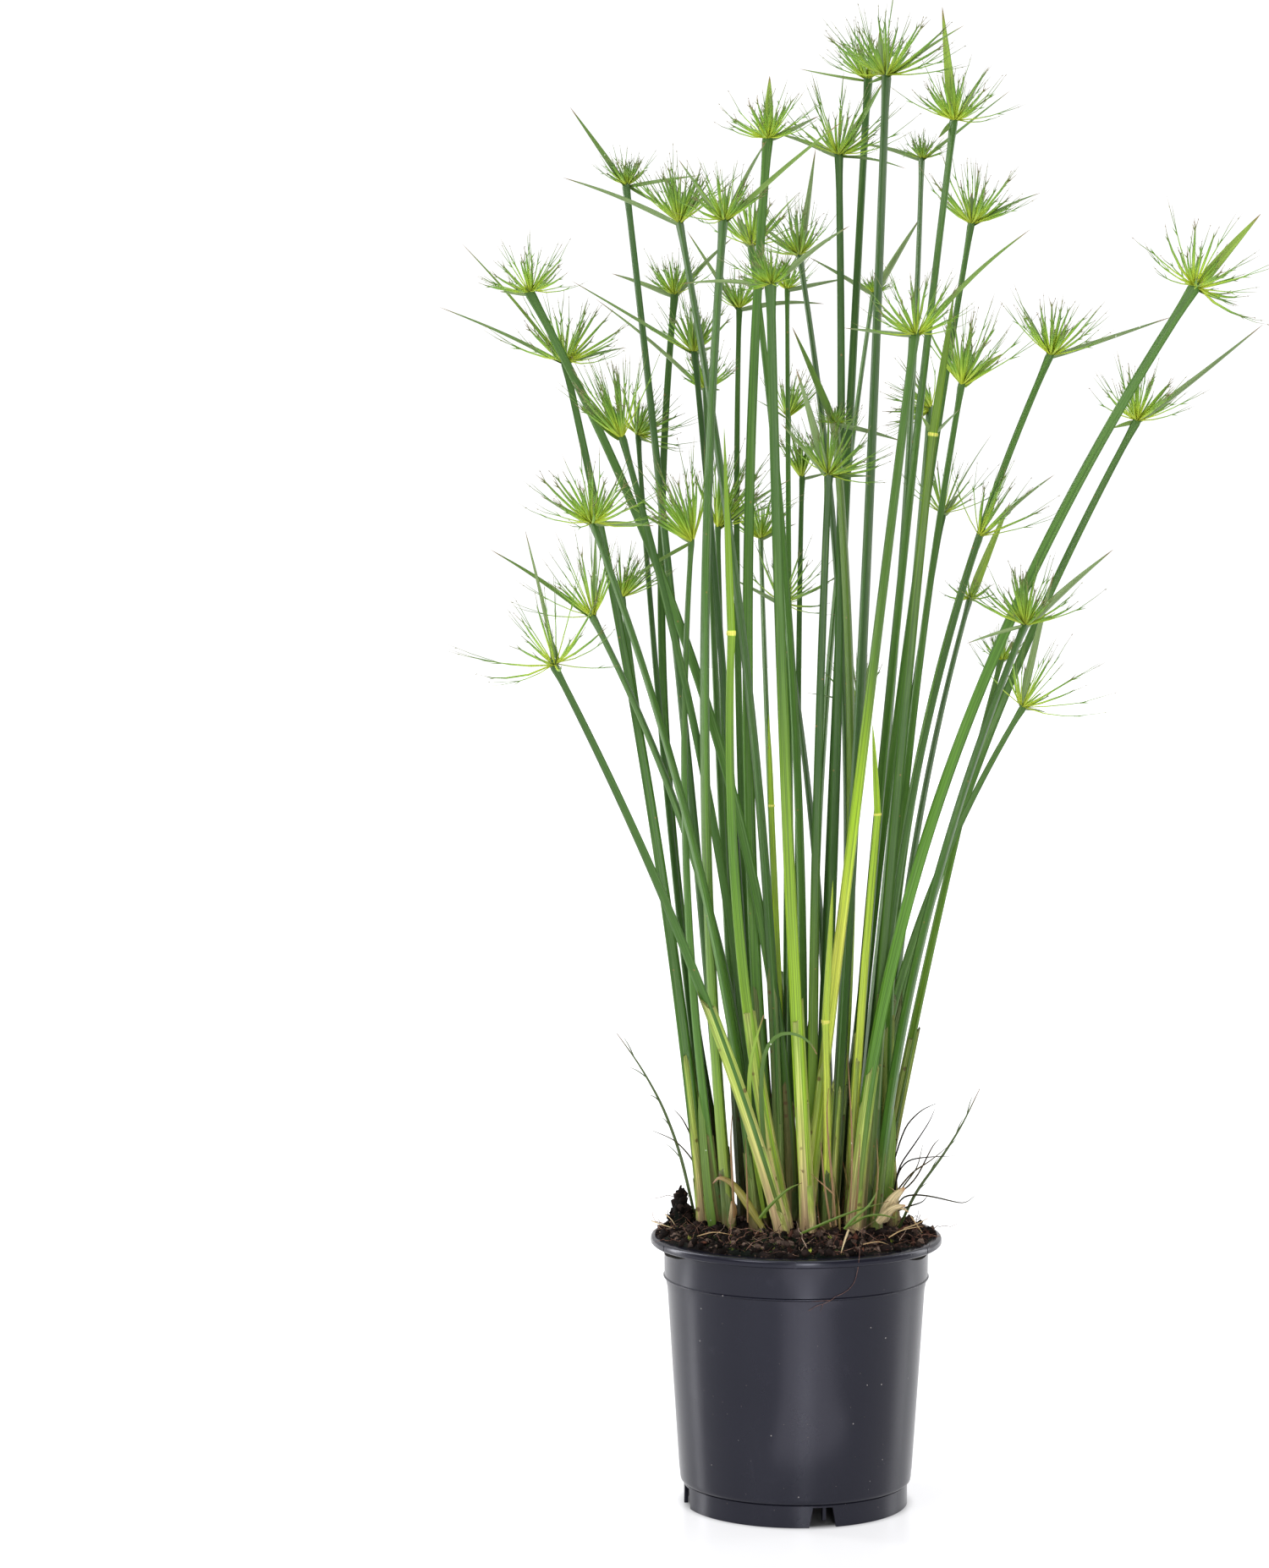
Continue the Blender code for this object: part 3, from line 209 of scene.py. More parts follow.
# Peat, as in the solids
PEAT_EDGE_RADIUS = 83.6
PEAT_EDGE_HEIGHT = 171.5
PEAT_HEAP = 8.5
PEAT_RISE_LEFT = 3.0
PEAT_RISE_BACK = 2.5
CLOD_AT = (-76.0, 22.0)
CLOD_HEIGHT = 24.0
CLOD_RADIUS = 9.0
RIM_FILL = 6.0
RIM_TOP = 177.0


def rgb(code):
    """A colour written as six hex digits, as the linear values that a shader takes."""
    parts = [int(code[k:k + 2], 16) / 255.0 for k in (1, 3, 5)]
    return tuple(c / 12.92 if c <= 0.04045 else ((c + 0.055) / 1.055) ** 2.4 for c in parts) + (1.0,)


def unit(vector):
    return vector / max(1e-9, np.linalg.norm(vector))


def units(vectors):
    return vectors / np.maximum(1e-9, np.linalg.norm(vectors, axis=1))[:, None]


def seen_at(column, row, depth):
    """The place in mm, at a depth behind the pot's axis, that the photo shows at a pixel."""
    slope = (MIDDLE_ROW - row) / FOCAL_PIXELS
    away = depth - CAMERA_AT[1]
    cos, sin = math.cos(CAMERA_DOWN), math.sin(CAMERA_DOWN)
    rise = away * (slope * cos - sin) / (cos + slope * sin)
    straight = away * cos - rise * sin
    return np.array(((column - AXIS_COLUMN) / FOCAL_PIXELS * straight, depth, CAMERA_AT[2] + rise))


# ---- Node trees ----

def open_socket(sockets, key):
    """A node's socket by its place or its name, leaving out those that its settings switch off."""
    usable = [s for s in sockets if s.enabled]
    if isinstance(key, int):
        return usable[key]
    return next(s for s in usable if s.name == key)


class Nodes:
    """Adds nodes to a tree and links them in one call each."""

    def __init__(self, tree):
        self.tree = tree

    def add(self, kind, inputs=(), **settings):
        node = self.tree.nodes.new(kind)
        for name, value in settings.items():
            setattr(node, name, value)
        for key, value in dict(inputs).items():
            self.join(value, open_socket(node.inputs, key))
        return node

    def join(self, value, socket):
        if isinstance(value, bpy.types.Node):
            value = open_socket(value.outputs, 0)
        if isinstance(value, bpy.types.NodeSocket):
            self.tree.links.new(value, socket)
        else:
            socket.default_value = value

    def math(self, operation, *values, clamp=False):
        kind = "ShaderNodeMath"
        return self.add(kind, dict(enumerate(values)), operation=operation, use_clamp=clamp)

    def vector(self, operation, *values):
        return self.add("ShaderNodeVectorMath", dict(enumerate(values)), operation=operation)

    def scaled(self, vector, factor):
        return self.add("ShaderNodeVectorMath", {"Vector": vector, "Scale": factor}, operation="SCALE")

    def dot(self, first, second):
        node = self.vector("DOT_PRODUCT", first, second)
        return node.outputs["Value"]


def geometry_tree(name, **inputs):
    """An empty geometry tree with named inputs. Returns the node helper and the tree's input node."""
    tree = bpy.data.node_groups.new(name, "GeometryNodeTree")
    tree.interface.new_socket("Geometry", in_out="INPUT", socket_type="NodeSocketGeometry")
    for label, (kind, value) in inputs.items():
        socket = tree.interface.new_socket(label, in_out="INPUT", socket_type="NodeSocket" + kind)
        if value is not None:
            socket.default_value = value
    tree.interface.new_socket("Geometry", in_out="OUTPUT", socket_type="NodeSocketGeometry")
    nodes = Nodes(tree)
    return nodes, nodes.add("NodeGroupInput").outputs


def named(nodes, name, kind):
    return nodes.add("GeometryNodeInputNamedAttribute", {"Name": name}, data_type=kind)


def finished(nodes, geometry, material):
    """Ends a tree: smooth faces, instances made real, one material."""
    smooth = nodes.add("GeometryNodeSetShadeSmooth", {"Geometry": geometry})
    real = nodes.add("GeometryNodeRealizeInstances", {"Geometry": smooth})
    dressed = nodes.add("GeometryNodeSetMaterial", {"Geometry": real, "Material": material})
    nodes.add("NodeGroupOutput", {"Geometry": dressed})
    return nodes.tree


def three_sided(nodes, angle, inputs):
    """A triangle with rounded corners and nearly flat sides."""
    turn = nodes.math("SUBTRACT", nodes.math("FLOORED_MODULO", angle, math.radians(120)), math.radians(60))
    steep = nodes.math("POWER", nodes.math("DIVIDE", nodes.math("COSINE", turn), 0.5), 7.0)
    radius = nodes.math("POWER", nodes.math("ADD", steep, 0.92 ** -7.0), -1.0 / 7.0)
    ends = [nodes.math("MULTIPLY", radius, nodes.math(way, angle)) for way in ("COSINE", "SINE")]
    return nodes.add("ShaderNodeCombineXYZ", {"X": ends[0], "Y": ends[1]})


def folded(nodes, angle, inputs):
    """A thin blade folded along its middle: Keel is the depth of the fold, Thick the blade's thickness."""
    across = nodes.math("COSINE", angle)
    fold = nodes.math("SUBTRACT", 1.0, nodes.math("ABSOLUTE", across))
    deep = nodes.math("MULTIPLY", fold, inputs["Keel"])
    high = nodes.math("MULTIPLY_ADD", nodes.math("SINE", angle), inputs["Thick"], deep)
    return nodes.add("ShaderNodeCombineXYZ", {"X": across, "Y": high})


def sweep_tree(name, section):
    """Lines with a direction and a width at each point become solid lengths of one section."""
    nodes, inputs = geometry_tree(
        name, Corners=("Int", 12), Keel=("Float", 0.4), Thick=("Float", 0.1), Material=("Material", None)
    )
    circle = nodes.add("GeometryNodeCurvePrimitiveCircle", {"Resolution": inputs["Corners"], "Radius": 1.0})
    ring = nodes.vector("NORMALIZE", nodes.add("GeometryNodeInputPosition"))
    parts = nodes.add("ShaderNodeSeparateXYZ", {"Vector": ring})
    angle = nodes.math("ARCTAN2", parts.outputs["Y"], parts.outputs["X"])
    profile = circle
    for label, value in (("ring", ring), ("place", section(nodes, angle, inputs))):
        profile = nodes.add("GeometryNodeStoreNamedAttribute",
                            {"Geometry": profile, "Name": label, "Value": value}, data_type="FLOAT_VECTOR")
    lines = nodes.add("GeometryNodeMeshToCurve", {"Mesh": inputs["Geometry"]})
    tube = nodes.add("GeometryNodeCurveToMesh",
                     {"Curve": lines, "Profile Curve": profile, "Fill Caps": True})
    vectors = {n: named(nodes, n, "FLOAT_VECTOR") for n in ("spot", "side", "keel", "tongue", "lip", "place", "ring")}
    place = nodes.add("ShaderNodeSeparateXYZ", {"Vector": vectors["place"]})
    over = nodes.scaled(vectors["side"], place.outputs["X"])
    down = nodes.scaled(vectors["keel"], place.outputs["Y"])
    offset = nodes.scaled(nodes.vector("ADD", over, down), named(nodes, "width", "FLOAT"))
    facing = nodes.math("MAXIMUM", nodes.dot(vectors["ring"], vectors["lip"]), 0.0)
    reach = nodes.scaled(vectors["tongue"], nodes.math("POWER", facing, 2.0))
    spot = nodes.vector("ADD", nodes.vector("ADD", vectors["spot"], offset), reach)
    placed = nodes.add("GeometryNodeSetPosition", {"Geometry": tube, "Position": spot})
    return finished(nodes, placed, inputs["Material"])


def setting_tree(name):
    """Points become small shapes from a collection, turned, sized, and bent towards their tips."""
    nodes, inputs = geometry_tree(name, Shapes=("Collection", None), Material=("Material", None))
    shapes = nodes.add("GeometryNodeCollectionInfo",
                       {"Collection": inputs["Shapes"], "Separate Children": True, "Reset Children": True})
    turn = nodes.add("FunctionNodeAxesToRotation", {
        "Primary Axis": named(nodes, "way", "FLOAT_VECTOR"), "Secondary Axis": named(nodes, "side", "FLOAT_VECTOR")})
    placed = nodes.add("GeometryNodeInstanceOnPoints", {
        "Points": inputs["Geometry"], "Instance": shapes, "Pick Instance": True,
        "Instance Index": named(nodes, "kind", "INT"), "Rotation": turn,
        "Scale": named(nodes, "size", "FLOAT_VECTOR")})
    real = nodes.add("GeometryNodeRealizeInstances", {"Geometry": placed})
    along = nodes.math("POWER", named(nodes, "along", "FLOAT"), 2.0)
    bend = nodes.scaled(named(nodes, "curl", "FLOAT_VECTOR"), along)
    bent = nodes.add("GeometryNodeSetPosition", {"Geometry": real, "Offset": bend})
    return finished(nodes, bent, inputs["Material"])


def plain_mesh(name, points, faces):
    mesh = bpy.data.meshes.new(name)
    mesh.from_pydata([tuple(p) for p in points], [], faces)
    mesh.update()
    return mesh


def new_object(name, mesh):
    piece = bpy.data.objects.new(name, mesh)
    bpy.context.scene.collection.objects.link(piece)
    return piece


def face_outwards(mesh):
    """Turns all faces round where the mesh encloses a negative volume."""
    shape = bmesh.new()
    shape.from_mesh(mesh)
    if shape.calc_volume(signed=True) < 0:
        bmesh.ops.reverse_faces(shape, faces=shape.faces)
        shape.to_mesh(mesh)
    shape.free()


def made_by_nodes(name, mesh, tree, values):
    """Runs a geometry tree over a mesh and keeps what comes out as a plain piece."""
    source = new_object(name + "_lines", mesh)
    modifier = source.modifiers.new("nodes", "NODES")
    modifier.node_group = tree
    for socket in tree.interface.items_tree:
        if socket.in_out == "INPUT" and socket.name in values:
            modifier[socket.identifier] = values[socket.name]
    bpy.context.view_layer.update()
    made = bpy.data.meshes.new_from_object(source.evaluated_get(bpy.context.evaluated_depsgraph_get()))
    source.modifiers.remove(modifier)
    bpy.data.objects.remove(source)
    made.name = name
    kept = ("ring", "along", "tone", "youth")
    for label in [a.name for a in made.attributes if a.domain == "POINT" and not a.is_internal]:
        if label not in kept + ("position",):
            made.attributes.remove(made.attributes[label])
    face_outwards(made)
    return new_object(name, made)


def store(mesh, name, kind, values):
    attribute = mesh.attributes.new(name, kind, "POINT")
    field = "vector" if kind == "FLOAT_VECTOR" else "value"
    attribute.data.foreach_set(field, np.asarray(values, np.int32 if kind == "INT" else np.float32).ravel())


class Paths:
    """Middle lines in mm, with the directions and widths that a sweep needs at each point."""

    VECTORS = ("spot", "side", "keel", "tongue", "lip")
    NUMBERS = ("width", "along", "tone", "youth")

    def __init__(self):
        self.rows = {name: [] for name in self.VECTORS + self.NUMBERS}
        self.edges = []
        self.count = 0

    def add(self, spots, keels, widths, tone=0.5, youth=0.0, tongue=0.0, lip=(0.0, 0.0, 0.0)):
        """keels: the way of the section's second axis. tongue: how far the last ring stands out, on its lip side."""
        spots = np.asarray(spots, float)
        count = len(spots)
        ways = units(np.gradient(spots, axis=0))
        keels = np.broadcast_to(np.asarray(keels, float), spots.shape)
        keels = units(keels - ways * (keels * ways).sum(axis=1)[:, None])
        last = np.zeros((count, 3))
        last[-1] = ways[-1] * tongue
        values = dict(
            spot=(spots + POT_AXIS) * MM, side=np.cross(keels, ways), keel=keels, tongue=last * MM,
            lip=np.broadcast_to(lip, spots.shape), width=np.broadcast_to(widths, count) * MM,
            along=np.linspace(0.0, 1.0, count), tone=np.broadcast_to(tone, count),
            youth=np.broadcast_to(youth, count))
        for name, value in values.items():
            self.rows[name].append(value)
        self.edges += [(self.count + k, self.count + k + 1) for k in range(count - 1)]
        self.count += count

    def mesh(self, name):
        values = {key: np.concatenate(rows) for key, rows in self.rows.items()}
        mesh = bpy.data.meshes.new(name)
        mesh.from_pydata([tuple(p) for p in values["spot"]], self.edges, [])
        for key in self.VECTORS:
            store(mesh, key, "FLOAT_VECTOR", values[key])
        for key in self.NUMBERS:
            store(mesh, key, "FLOAT", values[key])
        return mesh


class Spots:
    """Places in mm where small shapes stand, with the way, size, kind and bend of each."""

    def __init__(self):
        self.rows = {name: [] for name in ("spot", "way", "side", "size", "curl", "kind", "tone")}

    def add(self, spot, way, size, kind, side=(0.0, 1.0, 0.0), curl=(0.0, 0.0, 0.0), tone=0.5):
        values = ((np.asarray(spot) + POT_AXIS) * MM, way, side, np.asarray(size) * MM,
                  np.asarray(curl) * MM, kind, tone)
        for rows, value in zip(self.rows.values(), values):
            rows.append(value)

    def mesh(self, name):
        mesh = bpy.data.meshes.new(name)
        mesh.from_pydata([tuple(p) for p in self.rows["spot"]], [], [])
        for key in ("way", "side", "size", "curl"):
            store(mesh, key, "FLOAT_VECTOR", self.rows[key])
        store(mesh, "kind", "INT", self.rows["kind"])
        store(mesh, "tone", "FLOAT", self.rows["tone"])
        return mesh


# ---- Curves of the stalks ----

def radius_of(width):
    """The corner radius of a three-sided culm that looks this wide."""
    return width / 1.65


def bezier(curve, t):
    foot, middle, head = curve
    return foot * (1 - t) ** 2 + middle * 2 * t * (1 - t) + head * t**2


def tangent(curve, t):
    foot, middle, head = curve
    return 2 * (1 - t) * (middle - foot) + 2 * t * (head - middle)


def culm_radius(row, t):
    low, high = radius_of(row["widths"][0]), radius_of(row["widths"][1])
    radius = low + (high - low) * t
    if t < SHEATH_TOP:
        radius *= CULM_FLARE
    return radius


def first_curves():
    """Each culm as a quadratic curve in mm: foot, middle control point, head."""
    curves = []
    for row in STALKS:
        foot = np.array((*row["foot"], FOOT_LEVEL), float)
        head = np.array(row["head"], float)
        middle = (foot + head) / 2
        middle[0] += 2 * row["bend"]
        curves.append([foot, middle, head])
    return np.array(curves)


def part_the_culms(curves):
    """Culms that would touch at some height push each other aside, mostly in depth, as in the solids."""
    levels = np.arange(*PARTING_LEVELS)
    steps = np.linspace(0.0, 1.0, 33)
    basis = np.array(((1 - steps) ** 2, 2 * steps * (1 - steps), steps**2))
    size = np.array([[culm_radius(row, t) for t in steps] for row in STALKS])
    size[:, -1] *= HEAD_SWELL
    apart_already = np.eye(len(curves)) * 1e6
    spears = [row.get("spear", (0.0, HEAD_ROOM - SPEAR_ROOM)) for row in STALKS]
    spear_slope = np.array([spear[0] / spear[1] for spear in spears])
    top = np.array([spear[1] + SPEAR_ROOM for spear in spears])
    for _ in range(PARTING_TURNS):
        along = np.einsum("kt,ckx->ctx", basis, curves)
        t = np.array([np.interp(levels, z, steps) for z in along[:, :, 2]]).T
        radii = np.array([np.interp(t[:, i], steps, size[i]) for i in range(len(curves))]).T
        above = levels[:, None] - curves[None, :, 2, 2]
        present = (levels[:, None] > curves[None, :, 0, 2] - PARTING_LEVELS[2]) & (above < top)
        shares = np.stack(((1 - t) ** 2, 2 * t * (1 - t), t**2), axis=2)
        spots = np.einsum("lck,ckx->lcx", shares, curves[:, :, :2])
        spots[:, :, 0] += np.clip(above, 0.0, top) * spear_slope
        away = spots[:, :, None] - spots[:, None]
        distance = np.linalg.norm(away, axis=3) + apart_already
        need = (radii[:, :, None] + radii[:, None]) * LEANING_GIRTH + CLEARANCE + PARTING_SPARE
        short = np.maximum(0.0, need - distance) * present[:, :, None] * present[:, None]
        move = 0.5 * (away / np.maximum(distance, 0.05)[..., None] * short[..., None]).sum(axis=2)
        move[:, :, 0] *= np.where(t < LOW_PART, LOW_GIVE, HIGH_GIVE)
        touched = (short.max(axis=2) > 0)[..., None]
        push = (shares[..., None] * move[:, :, None]).sum(axis=0)
        weight = (shares * touched).sum(axis=0)[..., None]
        curves[:, :, :2] += PARTING_STEP * push / np.maximum(weight, 0.5)
        out = np.linalg.norm(curves[:, 0, :2], axis=1)[:, None]
        curves[:, 0, :2] *= np.minimum(1.0, FOOT_LIMIT / out)
    return curves


def frame_of(direction, spin):
    """Two directions across a line, turned about it by spin."""
    direction = unit(direction)
    side = np.cross(direction, (0.0, 1.0, 0.0))
    if np.linalg.norm(side) < 0.2:
        side = np.cross(direction, (1.0, 0.0, 0.0))
    side = unit(side)
    other = np.cross(direction, side)
    return side * math.cos(spin) + other * math.sin(spin), other * math.cos(spin) - side * math.sin(spin)


def lean_axis(row, curve):
    """The way an umbel opens: upwards, leaning as its row says, and a little as the culm goes in depth."""
    lean = math.radians(row["rays"][2])
    along = unit(tangent(curve, 1.0))
    return unit(np.array((math.sin(lean), max(-0.35, min(0.35, along[1])), math.cos(lean))))


def peat_height(x, y):
    """The peat's top without its small lumps: heaped under the crown, with one clod at the left."""
    reach = np.minimum(1.0, np.hypot(x, y) / PEAT_EDGE_RADIUS)
    height = PEAT_EDGE_HEIGHT + PEAT_HEAP * (1.0 - reach**3)
    height += PEAT_RISE_LEFT * np.maximum(0.0, -x / PEAT_EDGE_RADIUS)
    height += PEAT_RISE_BACK * np.maximum(0.0, y / PEAT_EDGE_RADIUS)
    clod = np.hypot(x - CLOD_AT[0], y - CLOD_AT[1])
    return height + np.maximum(0.0, CLOD_HEIGHT * (1.0 - clod / CLOD_RADIUS))


# ---- What sets single stalks apart ----

# How bright each stalk is from 0 to 1, where it isn't left to chance
STALK_TONES = {"stalk_17": 0.3, "stalk_18": 0.3, "stalk_35": 0.9, "stalk_37": 0.85, "stalk_28": 0.6, "stalk_23": 0.5, "stalk_16": 0.9, "stalk_20": 0.4, "stalk_49": 0.8,
               "stalk_14": 0.55, "stalk_13": 0.4, "young_stalk_1": 1.0, "young_stalk_3": 1.0,
               "young_stalk_2": 0.9, "young_stalk_4": 1.0, "stalk_19": 0.25, "stalk_36": 1.0}
# How yellow-green it is at its foot, at a third, at two thirds and at its head: 1 is bright, 2 is pale yellow
STALK_YOUTH = {"stalk_28": (0.9, 1.7, 0.22, 0.05), "stalk_23": (0.8, 0.7, 0.1, 0.0), "young_stalk_1": (0.9, 0.55, 0.12, 0.5),
               "young_stalk_2": (1.2, 1.3, 1.1, 0.9), "young_stalk_3": (1.3, 1.5, 1.3, 1.0),
               "young_stalk_4": (1.0, 1.5, 1.5, 1.3), "stalk_14": (0.5, 0.3, 0.0, 0.0),
               "stalk_30": (0.2, 0.15, 0.1, 0.4), "stalk_44": (0.6, 0.3, 0.0, 0.0),
               "stalk_49": (0.5, 0.4, 0.2, 0.1), "stalk_48": (0.6, 0.8, 0.3, 0.3)}
# How pale the sheaths at a stalk's foot are, where they stand out in front
PALE_FEET = {"stalk_03": 0.8, "stalk_08": 1.0, "stalk_23": 1.0, "stalk_28": 0.8, "young_stalk_3": 0.8, "stalk_19": 0.7,
             "stalk_36": 0.6, "stalk_49": 0.75, "young_stalk_1": 0.8, "stalk_35": 0.6, "stalk_09": 0.5}
# Bracts whose grey underside, or bright upper side, is turned to the front: stalk and place in its row
SILVER_FRONT = {("stalk_11", 1), ("stalk_15", 0), ("stalk_19", 0), ("stalk_22", 0)}
BRIGHT_FRONT = {("stalk_21", 0), ("stalk_16", 0), ("stalk_33", 0), ("stalk_36", 0), ("stalk_29", 0)}
SPARSE = {"stalk_08", "stalk_38", "stalk_32", "stalk_31", "stalk_33", "stalk_40", "stalk_07", "stalk_39"}
DENSE = {"stalk_20", "stalk_27", "stalk_48", "stalk_23"}

FOOT_IN_PEAT = 5.0
CULM_POINTS = 40
CULM_GIRTH = 1.12
WIDEST_FOOT = 8.4
HEAD_STEPS = ((0.985, 0.0, 1.12), (1.0, 0.0, 1.34), (1.0, 3.0, 1.2), (1.0, 5.5, 0.55))
SPEAR_PROFILE = ((0.0, 0.98), (0.004, 1.14), (0.02, 1.16), (0.027, 0.96), (0.12, 0.96), (0.3, 0.9), (0.55, 0.72),
                 (0.8, 0.42), (0.94, 0.16), (1.0, 0.02))
COLLAR_YOUTH = 2.2  # of the pale ring at a spear's foot, which is the second and third place of its profile


def stalk_random(index, salt):
    """A settled value from 0 to 1 for one stalk."""
    return (math.sin(index * 12.9898 + salt * 78.233) * 43758.5453) % 1.0


def tone_of(index, row):
    return STALK_TONES.get(row["name"], 0.1 + 0.75 * stalk_random(index, 1))


def youth_at(row, t):
    marks = STALK_YOUTH.get(row["name"], (0.12, 0.0, 0.0, 0.0))
    return np.interp(t, (0.0, 0.33, 0.66, 1.0), marks)


def add_culm(paths, index, row, curve):
    """One three-sided culm with its slightly swollen head, or with the closed spear that stands on it."""
    spin = GOLDEN_TURN * index
    t = np.linspace(0.0, 0.97, CULM_POINTS)
    spots = [bezier(curve, k) for k in t]
    flare = 1.0 + 0.06 * np.exp(-t / 0.06)
    low, high = (radius_of(w) for w in row["widths"])
    low = min(low, radius_of(WIDEST_FOOT))
    widths = list((low + (high - low) * t) * flare)
    head, way = curve[2], unit(tangent(curve, 1.0))
    keels = [frame_of(tangent(curve, k), spin)[1] for k in t]
    if row.get("spear"):
        reach_x, reach_z, width = row["spear"]
        tip = head + np.array((reach_x, 0.0, reach_z))
        spots += [head + (tip - head) * share for share, _ in SPEAR_PROFILE]
        widths += [radius_of(width) * size for _, size in SPEAR_PROFILE]
        keels += [frame_of(tip - head, spin)[1]] * len(SPEAR_PROFILE)
    else:
        spots += [bezier(curve, k) + way * rise for k, rise, _ in HEAD_STEPS]
        widths += [high * swell for _, _, swell in HEAD_STEPS]
        keels += [keels[-1]] * len(HEAD_STEPS)
    spots = np.array(spots)
    spots[0, 2] = min(spots[0, 2], peat_height(*spots[0, :2]) - FOOT_IN_PEAT)
    reach = np.clip((spots[:, 2] - curve[0][2]) / (head[2] - curve[0][2]), 0.0, 1.0)
    youth = youth_at(row, reach)
    if row.get("spear"):
        youth[CULM_POINTS + 1 : CULM_POINTS + 3] = COLLAR_YOUTH
    paths.add(spots, keels, np.array(widths) * CULM_GIRTH, tone_of(index, row), youth)


def add_sheaths(paths, index, row, curve):
    """Leaf sheaths round a culm's foot: each a short sleeve with a slanting mouth that ends in a point."""
    spin = GOLDEN_TURN * index
    low = radius_of(min(row["widths"][0], WIDEST_FOOT)) * CULM_GIRTH
    height = curve[2][2] - curve[0][2]
    count = 3 if row["name"] in PALE_FEET else 2 + int(stalk_random(index, 2) * 1.6)
    for number in range(count):
        share = stalk_random(index, 3 + number)
        top = (14 + 26 * share, 40 + 50 * share, 90 + 70 * share)[number] / height
        t = np.linspace(0.0, top, 9)
        spots = np.array([bezier(curve, k) for k in t])
        spots[0, 2] -= FOOT_IN_PEAT
        girth = (1.24, 1.14, 1.07)[number] * (1.0 - 0.05 * stalk_random(index, 9 + number))
        ease = np.array((1.1, 1.06, 1.03, 1.0, 0.98, 0.96, 0.94, 0.93, 0.92))
        keels = [frame_of(tangent(curve, k), spin + 0.3 * number)[1] for k in t]
        turn = 2 * math.pi * stalk_random(index, 20 + number)
        lip = (math.cos(turn), math.sin(turn), 0.0)
        pale = PALE_FEET.get(row["name"], 0.42 * stalk_random(index, 40 + number))
        paths.add(spots, keels, low * girth * ease, stalk_random(index, 30 + number), pale,
                  9.0 + 16.0 * stalk_random(index, 50 + number), lip)


def depth_of_tip(node, head, reach):
    """How far behind the head a bract of the solid ends, and the share of its reach that it has there."""
    mesh = node.data
    points = np.empty(len(mesh.vertices) * 3)
    mesh.vertices.foreach_get("co", points)
    points = points.reshape(-1, 3) / MM - POT_AXIS
    for share in BRACT_SHARES:
        goal = np.array((head[0] + reach[0] * share, head[2] + reach[1] * share))
        gaps = np.hypot(points[:, 0] - goal[0], points[:, 2] - goal[1])
        nearest = int(gaps.argmin())
        if gaps[nearest] < 0.4:
            return points[nearest, 1] - head[1], share
    return 0.0, 1.0


BRACT_WIDTHS = ((0.0, 0.7), (0.06, 0.86), (0.18, 1.0), (0.4, 0.86), (0.65, 0.6), (0.85, 0.32), (0.95, 0.15), (1.0, 0.03))


def add_bract(paths, index, row, curve, number, bract):
    head, axis = curve[2], unit(tangent(curve, 1.0))
    depth, share = depth_of_tip(frame["nodes"][row["name"]], head, bract[:2])
    tip = head + np.array((bract[0] * share, depth, bract[1] * share))
    out = unit((tip - head) - axis * ((tip - head) @ axis) * 0.6)
    start = head + out * radius_of(row["widths"][1]) * 0.55 + axis * 1.0
    long = np.linalg.norm(tip - start)
    s = np.linspace(0.0, 1.0, 16)
    rise = np.array((0.0, 0.0, 1.0)) * long * (0.06 * stalk_random(index, 60 + number) - 0.01)
    across = unit(np.cross(tip - start, (0.0, 0.0, 1.0)))
    sway = across * long * 0.035 * math.sin(7.0 * stalk_random(index, 64 + number))
    line = np.array([start + (tip - start) * k + rise * math.sin(math.pi * k) + sway * math.sin(2.6 * k) * k for k in s])
    widths = np.interp(s, *zip(*BRACT_WIDTHS)) * bract[2] * 0.72
    key = (row["name"], number)
    if key in SILVER_FRONT:
        keel = (0.0, -1.0, -0.2)
    elif key in BRIGHT_FRONT:
        keel = (0.15, 1.0, 0.0)
    else:
        roll = 0.9 if stalk_random(index, 74 + number) < 0.5 else -0.9
        keel = -axis + out * 0.7 + np.array((0.0, -0.25 + roll, 0.0))
    youth = 0.3 + 0.7 * (key in BRIGHT_FRONT) + 0.3 * stalk_random(index, 70 + number)
    paths.add(line, keel, widths, tone_of(index, row), youth)


def ray_way(axis, polar, turn):
    side, other = frame_of(axis, 0.0)
    out = side * math.cos(turn) + other * math.sin(turn)
    return unit(axis * math.cos(polar) + out * math.sin(polar)), out


BLADE_KINDS = 5
RAY_KINDS = 9
HAIR_SHARE = 0.42
RAY_COUNT = 46
SPARSE_COUNT = 24
DENSE_COUNT = 54


